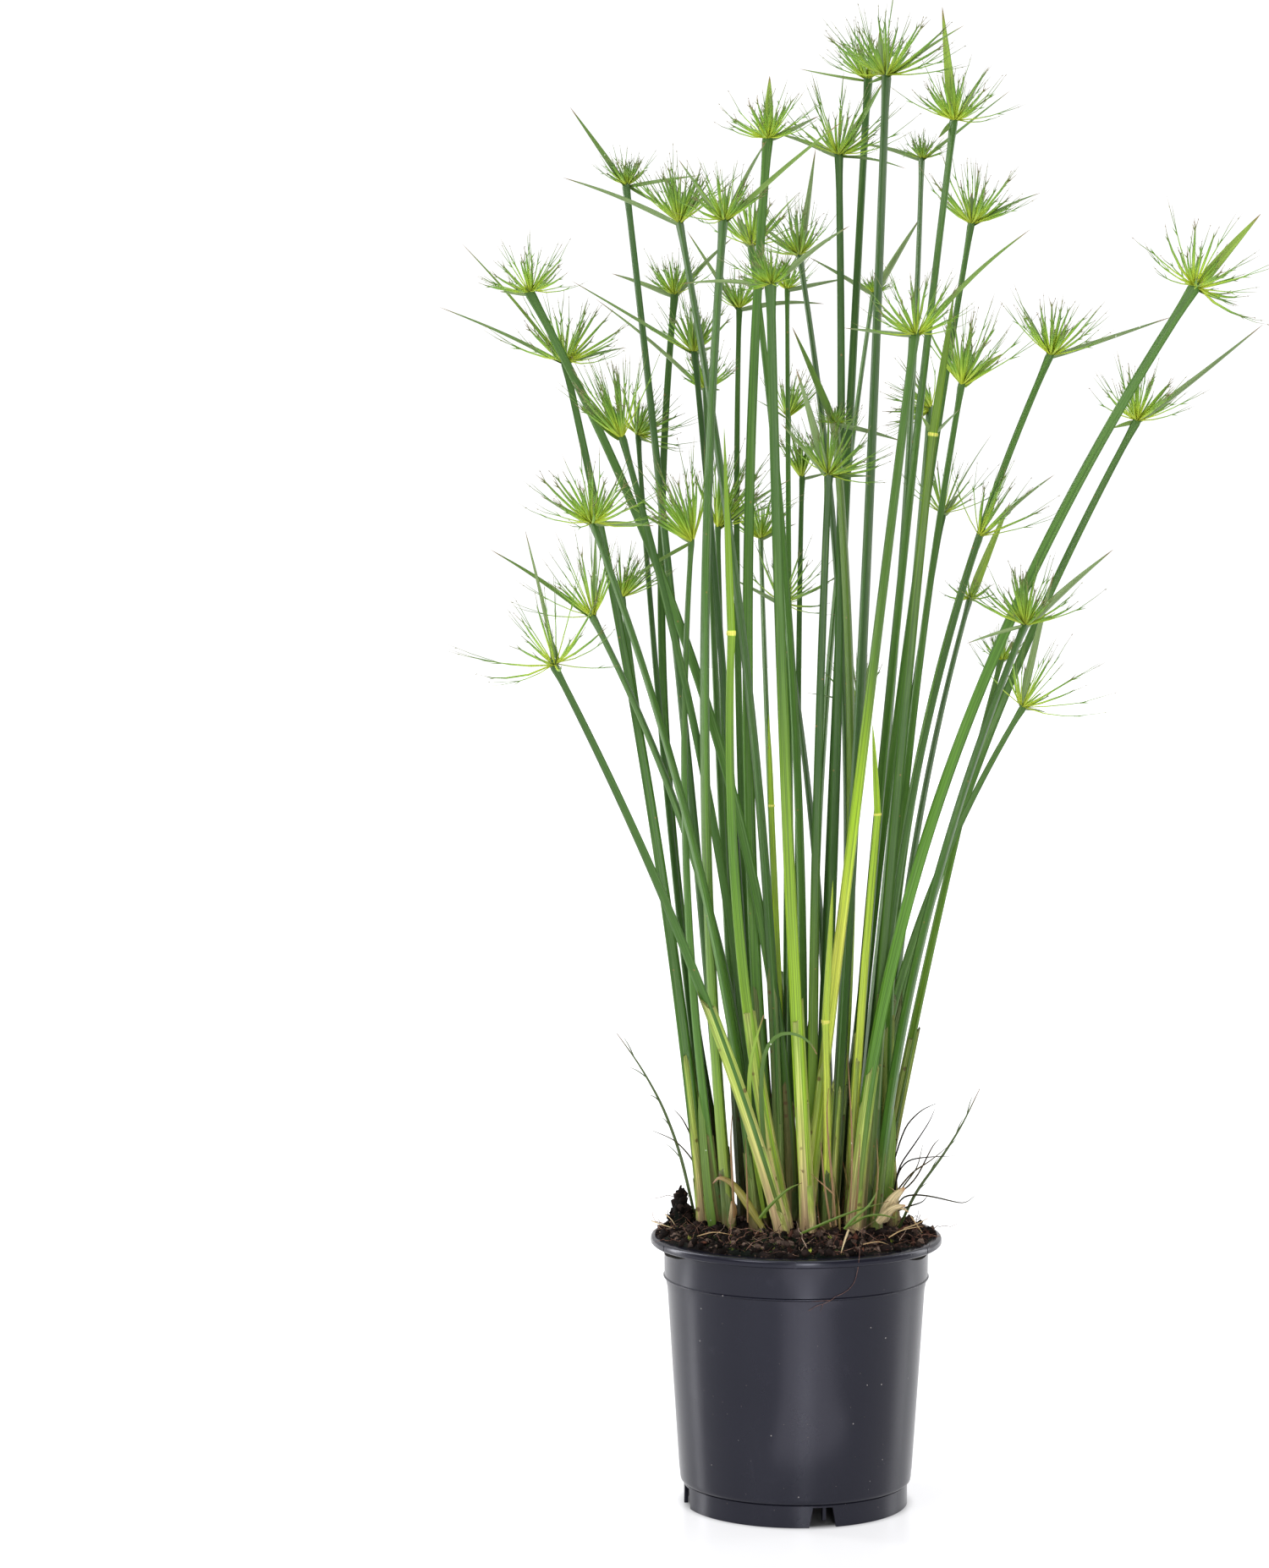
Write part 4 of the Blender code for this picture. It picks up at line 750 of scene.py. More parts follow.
def add_rays(spots, index, row, curve):
    """A burst of rays in a golden spiral over the umbel's cone, the outer ones curling upwards."""
    length, half, _ = row["rays"]
    axis = lean_axis(row, curve)
    head = curve[2] + unit(tangent(curve, 1.0)) * 2.5
    count = RAY_COUNT
    thick = 1.0
    if row["name"] in SPARSE:
        count, thick = SPARSE_COUNT, 0.8
    elif row["name"] in DENSE:
        count, thick = DENSE_COUNT, 1.2
    rng = np.random.default_rng(1000 + index)
    for k in range(count):
        share = (k + 0.5) / count
        hair = rng.uniform() < HAIR_SHARE
        polar = math.radians(min(half * 1.6, 94.0)) * share**0.6 * (1.0 if hair else 0.86) + rng.uniform(-0.12, 0.12)
        turn = k * GOLDEN_TURN + rng.uniform(-0.3, 0.3)
        way, out = ray_way(axis, polar, turn)
        size = length * (rng.uniform(0.85, 1.2) if hair else rng.uniform(0.42, 0.92))
        bend = axis * size * math.sin(polar) ** 2 * rng.uniform(0.15, 0.5) + out * size * rng.uniform(-0.06, 0.06)
        way = unit(way * size - bend)
        girth = length * thick * (46.0 / max(22.0, length)) ** 0.7
        start = head + out * radius_of(row["widths"][1]) * 0.75 * min(1.0, polar)
        tone = np.clip(tone_of(index, row) + rng.uniform(-0.25, 0.25), 0.0, 1.0)
        kind = int(rng.integers(BLADE_KINDS, RAY_KINDS) if hair else rng.integers(BLADE_KINDS))
        spots.add(start, way, (girth, girth, size), kind, out, bend, tone)


class Small:
    """A small closed shape put together from tapering three-sided limbs."""

    def __init__(self):
        self.points, self.faces, self.alongs = [], [], []

    def limb(self, line, widths, sides=3):
        """A limb along a line, pointed at its far end. Points carry how far out they are."""
        line = np.array(line, float)
        first = len(self.points)
        for k in range(len(line) - 1):
            way = line[k + 1] - line[k] if k == 0 else line[k + 1] - line[k - 1]
            side, other = frame_of(way, 0.5 * k * 0.0 + 0.4)
            for i in range(sides):
                angle = 2 * math.pi * i / sides
                self.points.append(line[k] + widths[k] * (side * math.cos(angle) + other * math.sin(angle)))
        self.points.append(line[-1])
        rings = len(line) - 1
        self.faces.append(tuple(first + i for i in reversed(range(sides))))
        for k in range(rings - 1):
            a = first + k * sides
            self.faces += [(a + i, a + (i + 1) % sides, a + sides + (i + 1) % sides, a + sides + i) for i in range(sides)]
        last, apex = first + (rings - 1) * sides, len(self.points) - 1
        self.faces += [(last + i, last + (i + 1) % sides, apex) for i in range(sides)]
        self.alongs += [float(np.clip(p[2], 0.0, 1.0)) for p in self.points[first:]]

    def bead(self, middle, radius, length):
        """A tiny spikelet: two three-sided points back to back."""
        middle = np.array(middle, float)
        first = len(self.points)
        ring = [middle + radius * np.array((math.cos(a), math.sin(a), 0.0)) for a in (0.0, 2.1, 4.2)]
        self.points += [middle - (0, 0, length), *ring, middle + (0, 0, length)]
        for i in range(3):
            a, b = first + 1 + i, first + 1 + (i + 1) % 3
            self.faces += [(first, b, a), (first + 4, a, b)]
        self.alongs += [float(np.clip(middle[2], 0.0, 1.0))] * 5

    def object(self, name):
        mesh = plain_mesh(name, self.points, self.faces)
        store(mesh, "along", "FLOAT", self.alongs)
        return bpy.data.objects.new(name, mesh)


def collection_of(name, shapes):
    """A collection that geometry nodes take shapes from by number, so their names sort in order."""
    group = bpy.data.collections.new(name)
    for number, shape in enumerate(shapes):
        group.objects.link(shape.object(f"{name}_{number:02d}"))
    return group


def ray_shape(number):
    """One ray of length 1: a three-sided blade, and where it forks a bracteole and fine hairs with spikelets."""
    rng = np.random.default_rng(200 + number)
    shape = Small()
    broad = number < BLADE_KINDS
    fork = rng.uniform(0.66, 0.84) if broad else rng.uniform(0.5, 0.62)
    swing = rng.uniform(-0.02, 0.02, 2)
    joint = np.array((*swing, fork))
    blade = [(0.0, 0.0, -0.03), (swing[0] * 0.2, swing[1] * 0.2, fork * 0.4),
             (swing[0] * 0.6, swing[1] * 0.6, fork * 0.78), joint, joint + (swing[0], swing[1], 0.09)]
    shape.limb(blade, (0.015, 0.021, 0.019, 0.012) if broad else (0.0095, 0.0105, 0.009, 0.0075))
    for hair in range(1 + number % 2):
        turn = rng.uniform(0, 6.28)
        spread = rng.uniform(0.02, 0.08)
        out = np.array((math.cos(turn), math.sin(turn), 0.0)) * spread
        end = rng.uniform(0.86, 1.04) if hair else 1.0
        rise = np.array((0.0, 0.0, end - fork))
        middle = joint + out * 0.6 + rise * 0.5
        tip = joint + out + rise
        shape.limb([joint - (0, 0, 0.02), middle, tip], (0.0062, 0.0046))
        if hair != 1:
            shape.bead(middle + (tip - middle) * rng.uniform(0.25, 0.8), 0.0078, 0.018)
    turn = rng.uniform(0, 6.28)
    out = np.array((math.cos(turn), math.sin(turn), 0.0))
    shape.limb([joint - (0, 0, 0.03), joint + out * 0.05 + (0, 0, 0.08)], (0.012,))
    return shape


# ---- Pot, peat and what lies on it ----

POT_SIDES = 192
LIP_RADIUS = 95.0
LIP_TOP = 177.0
BAND_RADIUS = 86.0
BAND_FOOT = 150.4
WALL_TOP_RADIUS = 84.6
WALL_FOOT_RADIUS = 75.6
SHOULDER_HEIGHT = 21.0
FOOT_RADIUS = 73.2
FOOT_INNER_RADIUS = 70.6
FOOT_HEIGHT = 15.0
NOTCH_FIRST_ANGLE = -76.0
NOTCH_TOP_WIDTH = 13.0
NOTCH_FOOT_WIDTH = 19.0
NOTCH_HEIGHT = 13.0

# Radius and height round the pot, from under its floor, up the outside, over the rolled rim and down the inside
POT_PROFILE = (
    (0.0, 16.2), (70.6, 16.2), (70.6, 0.3), (70.9, 0.0), (72.9, 0.0), (73.2, 0.3), (73.2, 14.2), (72.8, 14.7),
    (73.1, 15.1), (74.4, 15.4), (75.2, 16.2), (75.5, 17.4), (75.7, 19.0), (75.8, 21.0), (76.2, 24.0), (80.4, 87.0), (84.0, 142.0),
    (85.4, 149.0), (86.3, 149.5), (86.7, 149.9), (86.7, 150.4), (86.0, 151.0), (86.2, 170.4), (86.5, 171.2), (87.6, 171.5),
    (92.8, 171.5), (94.0, 171.8), (94.8, 172.6), (95.0, 173.8), (94.9, 175.2), (94.5, 176.2), (93.7, 176.8),
    (92.6, 177.0), (87.0, 177.0), (85.8, 176.6), (85.2, 175.6), (84.6, 172.0), (73.8, 20.0), (72.4, 18.4), (0.0, 18.4),
)
# Short upright splits in the rim, by angle round the pot and width in mm
RIM_SPLITS = ((-90.2, 0.7), (-154.0, 0.9), (-27.0, 0.9), (40.0, 0.8), (140.0, 0.8))


def lathe(profile, sides):
    """Points and faces of a profile turned about the pot's axis, closed where its radius is nothing."""
    points, faces, rings = [], [], []
    for radius, height in profile:
        if radius < 1e-6:
            rings.append([len(points)] * sides)
            points.append((0.0, 0.0, height))
        else:
            rings.append(list(range(len(points), len(points) + sides)))
            angles = [2 * math.pi * k / sides for k in range(sides)]
            points += [(radius * math.cos(a), radius * math.sin(a), height) for a in angles]
    for low, high in zip(rings[:-1], rings[1:]):
        for k in range(sides):
            j = (k + 1) % sides
            face = []
            for corner in (low[k], low[j], high[j], high[k]):
                if corner not in face:
                    face.append(corner)
            if len(face) > 2:
                faces.append(tuple(face))
    return points, faces


def in_frame(points):
    return (np.array(points, float) + POT_AXIS) * MM


def block(angle, near, far, foot, top, low, high):
    """A straight-sided block that points outwards at an angle, its foot and top of different widths."""
    corners = ((-foot / 2, low), (foot / 2, low), (top / 2, high), (-top / 2, high))
    out = np.array((math.cos(angle), math.sin(angle), 0.0))
    across = np.array((-math.sin(angle), math.cos(angle), 0.0))
    points = [out * r + across * w + np.array((0.0, 0.0, z)) for r in (near, far) for w, z in corners]
    faces = [(3, 2, 1, 0), (4, 5, 6, 7), (0, 1, 5, 4), (1, 2, 6, 5), (2, 3, 7, 6), (3, 0, 4, 7)]
    return points, faces


def cut(piece, tools):
    """Cuts closed shapes out of a piece and keeps the result as its plain mesh."""
    for number, tool in enumerate(tools):
        modifier = piece.modifiers.new(f"cut_{number}", "BOOLEAN")
        modifier.operation = "DIFFERENCE"
        modifier.solver = "EXACT"
        modifier.object = tool
    bpy.context.view_layer.update()
    mesh = bpy.data.meshes.new_from_object(piece.evaluated_get(bpy.context.evaluated_depsgraph_get()))
    piece.modifiers.clear()
    piece.data = mesh
    for tool in tools:
        bpy.data.objects.remove(tool)


def ready(piece, material, *nodes, slot, sharp=None):
    """Gives a piece its material, smooth faces, body and the solids it stands for. slot is not used."""
    if material:
        piece.data.materials.clear()
        piece.data.materials.append(material)
    piece.data.polygons.foreach_set("use_smooth", [True] * len(piece.data.polygons))
    if sharp:
        piece.data.set_sharp_from_angle(angle=math.radians(sharp))
    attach(piece, "root")
    if nodes:
        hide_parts(*nodes)
    return piece


def make_pot(material):
    points, faces = lathe(POT_PROFILE, POT_SIDES)
    pot = new_object("nursery_pot", plain_mesh("nursery_pot", in_frame(points), faces))
    face_outwards(pot.data)
    tools = []
    for k in range(4):
        angle = math.radians(NOTCH_FIRST_ANGLE + 90.0 * k)
        shape = block(angle, FOOT_INNER_RADIUS - 8, FOOT_RADIUS + 6, NOTCH_FOOT_WIDTH, NOTCH_TOP_WIDTH, -3, NOTCH_HEIGHT)
        tools.append(new_object(f"notch_{k}", plain_mesh("notch", in_frame(shape[0]), shape[1])))
    for k, (angle, width) in enumerate(RIM_SPLITS):
        shape = block(math.radians(angle), 94.3, 97.0, width, width, 171.0, 178.5)
        tools.append(new_object(f"split_{k}", plain_mesh("split", in_frame(shape[0]), shape[1])))
    for tool in tools:
        face_outwards(tool.data)
    cut(pot, tools)
    ready(pot, material, "pot", slot="pot_black", sharp=32)
    ribs = []
    for k in range(4):
        angle = math.radians(NOTCH_FIRST_ANGLE + 90.0 * k + 1.5)
        ribs.append(block(angle, 67.0, 69.6, 2.4, 2.0, 4.0, 16.4))
    points = [p for rib in ribs for p in rib[0]]
    faces = [tuple(8 * k + c for c in f) for k, rib in enumerate(ribs) for f in rib[1]]
    piece = new_object("notch_ribs", plain_mesh("notch_ribs", in_frame(points), faces))
    face_outwards(piece.data)
    ready(piece, material, slot="pot_black", sharp=30)
    piece.data.polygons.foreach_set("use_smooth", [False] * len(piece.data.polygons))
    return pot


PEAT_SECTORS = 220
PEAT_RINGS = 74
PEAT_DEPTH = 12.0


def lumpy_height(x, y):
    """The peat's top with its lumps and pits. At the pot's edge it comes up to the rim and lies over it."""
    spot = Vector((x, y, 0.0))
    lumps = noise.fractal(spot * 0.055, 0.8, 2.1, 3) * 2.4 + noise.fractal(spot * 0.21 + Vector((7, 3, 1)), 0.7, 2.0, 4) * 2.0
    crumbs = (0.45 - noise.voronoi(spot * 0.33)[0][0]) * 2.4
    reach = math.hypot(x, y) / PEAT_EDGE_RADIUS
    height = float(peat_height(x, y)) + RIM_FILL * min(1.0, reach) ** 4 + lumps + crumbs
    if reach > 1.0:
        height = max(RIM_TOP + 0.4, RIM_TOP + (height - RIM_TOP) * max(0.0, 1.0 - (reach - 1.0) * 7.0))
    return height


def edge_radius(angle):
    """How far out the peat lies over the rim: furthest at the left and the right."""
    rough = noise.noise(Vector((3.1 * math.cos(angle), 3.1 * math.sin(angle), 4.0)))
    side = math.cos(angle) ** 2
    return PEAT_EDGE_RADIUS + 0.5 + 7.0 * side + (0.8 + side) * rough


def make_peat(material):
    points, faces = [(0.0, 0.0, lumpy_height(0.0, 0.0))], []
    shares = [((k + 1) / PEAT_RINGS) ** 0.72 for k in range(PEAT_RINGS)]
    angles = [2 * math.pi * k / PEAT_SECTORS for k in range(PEAT_SECTORS)]
    edges = [edge_radius(a) for a in angles]
    for share in shares:
        spots = [(share * r * math.cos(a), share * r * math.sin(a)) for r, a in zip(edges, angles)]
        points += [(x, y, lumpy_height(x, y)) for x, y in spots]
    points[-PEAT_SECTORS:] = [(x, y, RIM_TOP - 0.25) for x, y in spots]
    points += [(83.4 * math.cos(a), 83.4 * math.sin(a), PEAT_EDGE_HEIGHT - PEAT_DEPTH) for a in angles]
    points.append((0.0, 0.0, PEAT_EDGE_HEIGHT - PEAT_DEPTH))
    ring = lambda level: [1 + level * PEAT_SECTORS + k for k in range(PEAT_SECTORS)]
    first, last = ring(0), ring(PEAT_RINGS)
    faces += [(0, first[k], first[(k + 1) % PEAT_SECTORS]) for k in range(PEAT_SECTORS)]
    for level in range(PEAT_RINGS):
        low, high = ring(level), ring(level + 1)
        for k in range(PEAT_SECTORS):
            j = (k + 1) % PEAT_SECTORS
            faces.append((low[k], high[k], high[j], low[j]))
    faces += [(len(points) - 1, last[(k + 1) % PEAT_SECTORS], last[k]) for k in range(PEAT_SECTORS)]
    piece = new_object("peat_bed", plain_mesh("peat_bed", in_frame(points), faces))
    face_outwards(piece.data)
    return ready(piece, material, "peat", slot="peat")


def lump_shape(seed, flat=1.0):
    """A small rough lump of about radius 1."""
    shape = Small()
    ball = bmesh.new()
    bmesh.ops.create_icosphere(ball, subdivisions=1, radius=1.0)
    rng = np.random.default_rng(seed)
    shape.points = [np.array(v.co) * rng.uniform(0.62, 1.15) * (1.0, rng.uniform(0.8, 1.0), flat) for v in ball.verts]
    shape.faces = [tuple(v.index for v in f.verts) for f in ball.faces]
    shape.alongs = [0.0] * len(shape.points)
    ball.free()
    return shape


def chip_shape(seed):
    """A flat splintered chip of bark, about 2 long and 1 wide."""
    rng = np.random.default_rng(seed)
    shape = Small()
    count = 6
    turns = [2 * math.pi * (k + rng.uniform(-0.3, 0.3)) / count for k in range(count)]
    rim = [(math.cos(a) * rng.uniform(0.8, 1.1), math.sin(a) * rng.uniform(0.35, 0.55)) for a in turns]
    for height in (-0.09, 0.09):
        shape.points += [np.array((x, y, height + rng.uniform(-0.05, 0.05))) for x, y in rim]
    shape.faces = [tuple(reversed(range(count))), tuple(range(count, 2 * count))]
    shape.faces += [(k, (k + 1) % count, (k + 1) % count + count, k + count) for k in range(count)]
    shape.alongs = [0.0] * (2 * count)
    return shape


def fibre_shape(seed):
    """A bent thread of length 1."""
    rng = np.random.default_rng(seed)
    shape = Small()
    line = np.zeros((7, 3))
    line[:, 2] = np.linspace(0.0, 1.0, 7)
    line[1:, :2] = np.cumsum(rng.uniform(-0.1, 0.1, (6, 2)), axis=0)
    shape.limb(line, (0.014, 0.013, 0.012, 0.011, 0.009, 0.006))
    return shape


def tuft_shape(seed):
    """A tuft of moss of about height 1: a few short leafy shoots."""
    rng = np.random.default_rng(seed)
    shape = Small()
    for k in range(7):
        turn = 2.4 * k + rng.uniform(-0.3, 0.3)
        out = np.array((math.cos(turn), math.sin(turn), 0.0)) * rng.uniform(0.15, 0.6)
        top = rng.uniform(0.6, 1.0)
        shape.limb([(0, 0, -0.1), out * 0.5 + (0, 0, 0.45 * top), out + (0, 0, top)], (0.13, 0.12))
    return shape


def on_peat(rng):
    angle = rng.uniform(0, 2 * math.pi)
    radius = edge_radius(angle) * 0.99 * math.sqrt(rng.uniform(0, 1))
    x, y = radius * math.cos(angle), radius * math.sin(angle)
    return np.array((x, y, lumpy_height(x, y)))


def random_way(rng, upright):
    way = rng.normal(size=3)
    way[2] = abs(way[2]) * upright
    return unit(way)


def scatter(name, shapes, material, slot, count, seed, sizes, upright=1.0, at=None, sink=0.2, bend=0.0):
    """Strews small shapes over the peat. sizes: least and greatest; at: which places and how likely."""
    rng = np.random.default_rng(seed)
    spots = Spots()
    while len(spots.rows["spot"]) < count:
        spot = on_peat(rng)
        if at and rng.uniform() > at(spot[0], spot[1]):
            continue
        size = sizes[0] + (sizes[1] - sizes[0]) * rng.uniform() ** 2.2
        spot[2] -= size * sink
        way, curl = random_way(rng, upright), rng.normal(size=3) * size * bend
        spots.add(spot, way, (size, size, size), int(rng.integers(len(shapes))), rng.normal(size=3), curl,
                  float(rng.uniform()))
    group = collection_of(name + "_shapes", shapes)
    piece = made_by_nodes(name, spots.mesh(name), SETTING, {"Shapes": group, "Material": material})
    for shape in list(group.objects):
        bpy.data.objects.remove(shape)
    bpy.data.collections.remove(group)
    return ready(piece, None, slot=slot)


# ---- Materials ----

def shader_group(name, inputs, outputs, build):
    """A shader node group with named inputs and outputs, filled by a function."""
    tree = bpy.data.node_groups.new(name, "ShaderNodeTree")
    for label, (kind, value) in inputs.items():
        tree.interface.new_socket(label, in_out="INPUT", socket_type="NodeSocket" + kind).default_value = value
    for label, kind in outputs.items():
        tree.interface.new_socket(label, in_out="OUTPUT", socket_type="NodeSocket" + kind)
    nodes = Nodes(tree)
    nodes.add("NodeGroupOutput", build(nodes, nodes.add("NodeGroupInput").outputs))
    return tree


def noise_of(nodes, vector, scale, detail=3.0, rough=0.55):
    return nodes.add("ShaderNodeTexNoise", {"Vector": vector, "Scale": scale, "Detail": detail,
                                            "Roughness": rough}).outputs["Fac"]


def spread(nodes, value, low, high, to_low=0.0, to_high=1.0):
    """Maps low..high smoothly to to_low..to_high."""
    return nodes.add("ShaderNodeMapRange", {"Value": value, "From Min": low, "From Max": high, "To Min": to_low,
                                            "To Max": to_high}, interpolation_type="SMOOTHSTEP")


def mixed(nodes, factor, first, second, blend="MIX"):
    node = nodes.add("ShaderNodeMix", {"Factor": factor}, data_type="RGBA", blend_type=blend)
    nodes.join(first, open_socket(node.inputs, "A"))
    nodes.join(second, open_socket(node.inputs, "B"))
    return open_socket(node.outputs, "Result")


def ramp(nodes, factor, stops):
    node = nodes.add("ShaderNodeValToRGB", {"Fac": factor})
    elements = node.color_ramp.elements
    while len(elements) < len(stops):
        elements.new(0.5)
    for element, (place, colour) in zip(elements, stops):
        element.position = place
        element.color = rgb(colour)
    return node.outputs["Color"]


def vein_nodes(nodes, inputs):
    """Fine stripes that run lengthwise round a stalk or across a blade, and broader faded bands."""
    along = nodes.math("MULTIPLY", inputs["Along"], inputs["Stretch"])
    rise = nodes.add("ShaderNodeCombineXYZ", {"Z": nodes.math("ADD", along, nodes.math("MULTIPLY", inputs["Tone"], 31.0))})
    fine = nodes.vector("ADD", nodes.scaled(inputs["Ring"], inputs["Fineness"]), rise)
    broad = nodes.vector("ADD", nodes.scaled(inputs["Ring"], 1.3), nodes.scaled(rise, 2.0))
    return {"Fine": noise_of(nodes, fine, 1.0, 2.0), "Broad": noise_of(nodes, broad, 1.0, 2.0)}


def speck_nodes(nodes, inputs):
    """Scattered small specks: a mask that is 1 in a share of the cells, near the cell's middle."""
    cells = nodes.add("ShaderNodeTexVoronoi", {"Vector": inputs["Vector"], "Scale": inputs["Scale"]})
    near = spread(nodes, cells.outputs["Distance"], inputs["Size"], nodes.math("MULTIPLY", inputs["Size"], 0.5))
    chance = nodes.add("ShaderNodeSeparateColor", {"Color": cells.outputs["Color"]}).outputs[0]
    chosen = nodes.math("LESS_THAN", chance, inputs["Share"])
    return {"Mask": nodes.math("MULTIPLY", near, chosen)}


def painted_shade_nodes(nodes, inputs):
    """Painted shade: a mask that grows from the crown's front towards its back, low down between the feet, where the
    back culms lie in shadow.
    """
    place = nodes.add("ShaderNodeSeparateXYZ", {"Vector": inputs["Place"]})
    inward = spread(nodes, place.outputs["Y"], 0.004, 0.05, 0.0, 0.72)
    low = spread(nodes, place.outputs["Z"], 0.36, 0.21)
    return {"Mask": nodes.math("MULTIPLY", inward, low)}


VEINS = shader_group(
    "lengthwise veins",
    {"Ring": ("Vector", (0, 0, 0)), "Along": ("Float", 0.0), "Tone": ("Float", 0.0), "Stretch": ("Float", 4.0),
     "Fineness": ("Float", 6.0)}, {"Fine": "Float", "Broad": "Float"}, vein_nodes)
# Painted shade at the crown's back, low down, for culms and sheaths
PAINTED_SHADE = shader_group("painted shade deep in the crown", {"Place": ("Vector", (0, 0, 0))}, {"Mask": "Float"}, painted_shade_nodes)
SPECKS = shader_group(
    "scattered specks",
    {"Vector": ("Vector", (0, 0, 0)), "Scale": ("Float", 100.0), "Size": ("Float", 0.2), "Share": ("Float", 0.1)},
    {"Mask": "Float"}, speck_nodes)


def new_material(name, **settings):
    """An empty principled material: its node helper and its surface node. settings go to the surface's sockets."""
    material = bpy.data.materials.new(name)
    material.use_nodes = True
    material.node_tree.nodes.clear()
    nodes = Nodes(material.node_tree)
    surface = nodes.add("ShaderNodeBsdfPrincipled")
    nodes.add("ShaderNodeOutputMaterial", {"Surface": surface})
    for label, value in settings.items():
        surface.inputs[label.replace("_", " ")].default_value = value
    return material, nodes, surface


def attribute(nodes, name, output="Fac"):
    return nodes.add("ShaderNodeAttribute", attribute_name=name).outputs[output]


def bumped(nodes, surface, height, strength, distance):
    bump = nodes.add("ShaderNodeBump", {"Height": height, "Strength": strength, "Distance": distance})
    nodes.join(bump, surface.inputs["Normal"])


def veined(nodes, stretch, fineness):
    facts = {n: attribute(nodes, n) for n in ("along", "tone", "youth")}
    facts["ring"] = attribute(nodes, "ring", "Vector")
    group = nodes.add("ShaderNodeGroup", node_tree=VEINS)
    for label, value in (("Ring", facts["ring"]), ("Along", facts["along"]), ("Tone", facts["tone"]),
                         ("Stretch", stretch), ("Fineness", fineness)):
        nodes.join(value, group.inputs[label])
    facts["fine"], facts["broad"] = group.outputs["Fine"], group.outputs["Broad"]
    return facts


def specks(nodes, scale, size, share):
    place = nodes.add("ShaderNodeTexCoord").outputs["Object"]
    group = nodes.add("ShaderNodeGroup", node_tree=SPECKS)
    for label, value in (("Vector", place), ("Scale", scale), ("Size", size), ("Share", share)):
        nodes.join(value, group.inputs[label])
    return group.outputs["Mask"]


def culm_material():
    """Three-sided culms: dark to mid green with fine lengthwise stripes, paler at the foot, with painted shade low
    down at the crown's back.
    """
    material, nodes, surface = new_material("culm_skin", Coat_Weight=0.05, Coat_Roughness=0.35, Specular_IOR_Level=0.3)
    f = veined(nodes, 5.0, 7.0)
    green = mixed(nodes, f["tone"], rgb("#2a4d1c"), rgb("#538026"))
    above = mixed(nodes, spread(nodes, f["along"], 0.45, 0.85, 0.0, 0.3), green, rgb("#2c4420"))
    bright = mixed(nodes, spread(nodes, f["youth"], 0.0, 1.0), above, rgb("#98bb28"))
    pale = mixed(nodes, spread(nodes, f["youth"], 1.0, 2.0), bright, rgb("#dcda60"))
    footed = mixed(nodes, spread(nodes, f["along"], 0.17, 0.02, 0.0, 0.45), pale, rgb("#92924a"))
    dark = mixed(nodes, spread(nodes, f["fine"], 0.36, 0.62, 0.55, 0.0), footed, rgb("#1f3a14"))
    light = mixed(nodes, spread(nodes, f["broad"], 0.54, 0.74, 0.0, 0.24), dark, rgb("#7a9658"))
    spots = mixed(nodes, nodes.math("MULTIPLY", specks(nodes, 260.0, 0.22, 0.03), 0.6), light, rgb("#8d6a3c"))
    # Painted shade: darker low down at the crown's back
    nodes.join(with_painted_shade(nodes, spots), surface.inputs["Base Color"])
    nodes.join(spread(nodes, f["fine"], 0.3, 0.7, 0.34, 0.5), surface.inputs["Roughness"])
    bumped(nodes, surface, f["fine"], 0.35, 0.0004)
    return material


def sheath_material():
    """Papery sheaths at the foot: pale green above, pinkish brown below, with a dark edge at the mouth, and painted
    shade at the crown's back.
    """
    material, nodes, surface = new_material("sheath_skin", Specular_IOR_Level=0.3, Roughness=0.6)
    f = veined(nodes, 3.0, 6.0)
    low = ramp(nodes, f["along"], ((0.0, "#4a3626"), (0.14, "#6c6038"), (0.36, "#52692c"), (0.9, "#40602a"),
                                   (1.0, "#566430")))
    high = ramp(nodes, f["along"], ((0.0, "#8a6450"), (0.16, "#c4a47c"), (0.36, "#c6bf6e"), (0.62, "#aec04a"),
                                    (0.94, "#8cae36"), (1.0, "#889440")))
    aged = mixed(nodes, spread(nodes, f["youth"], 0.25, 0.8), low, high)
    old = mixed(nodes, spread(nodes, f["tone"], 0.8, 1.0, 0.0, 0.5), aged, rgb("#8c7448"))
    stripes = mixed(nodes, spread(nodes, f["fine"], 0.4, 0.62, 0.5, 0.0), old, rgb("#3c4a1e"))
    light = mixed(nodes, nodes.math("MULTIPLY", spread(nodes, f["fine"], 0.56, 0.72, 0.1, 0.6), f["youth"]), stripes,
                  rgb("#e0dca0"))
    blots = mixed(nodes, nodes.math("MULTIPLY", specks(nodes, 190.0, 0.42, 0.12), 0.75), light, rgb("#5a3a22"))
    # Painted shade: darker low down at the crown's back
    nodes.join(with_painted_shade(nodes, blots), surface.inputs["Base Color"])
    bumped(nodes, surface, f["fine"], 0.5, 0.0006)
    return material


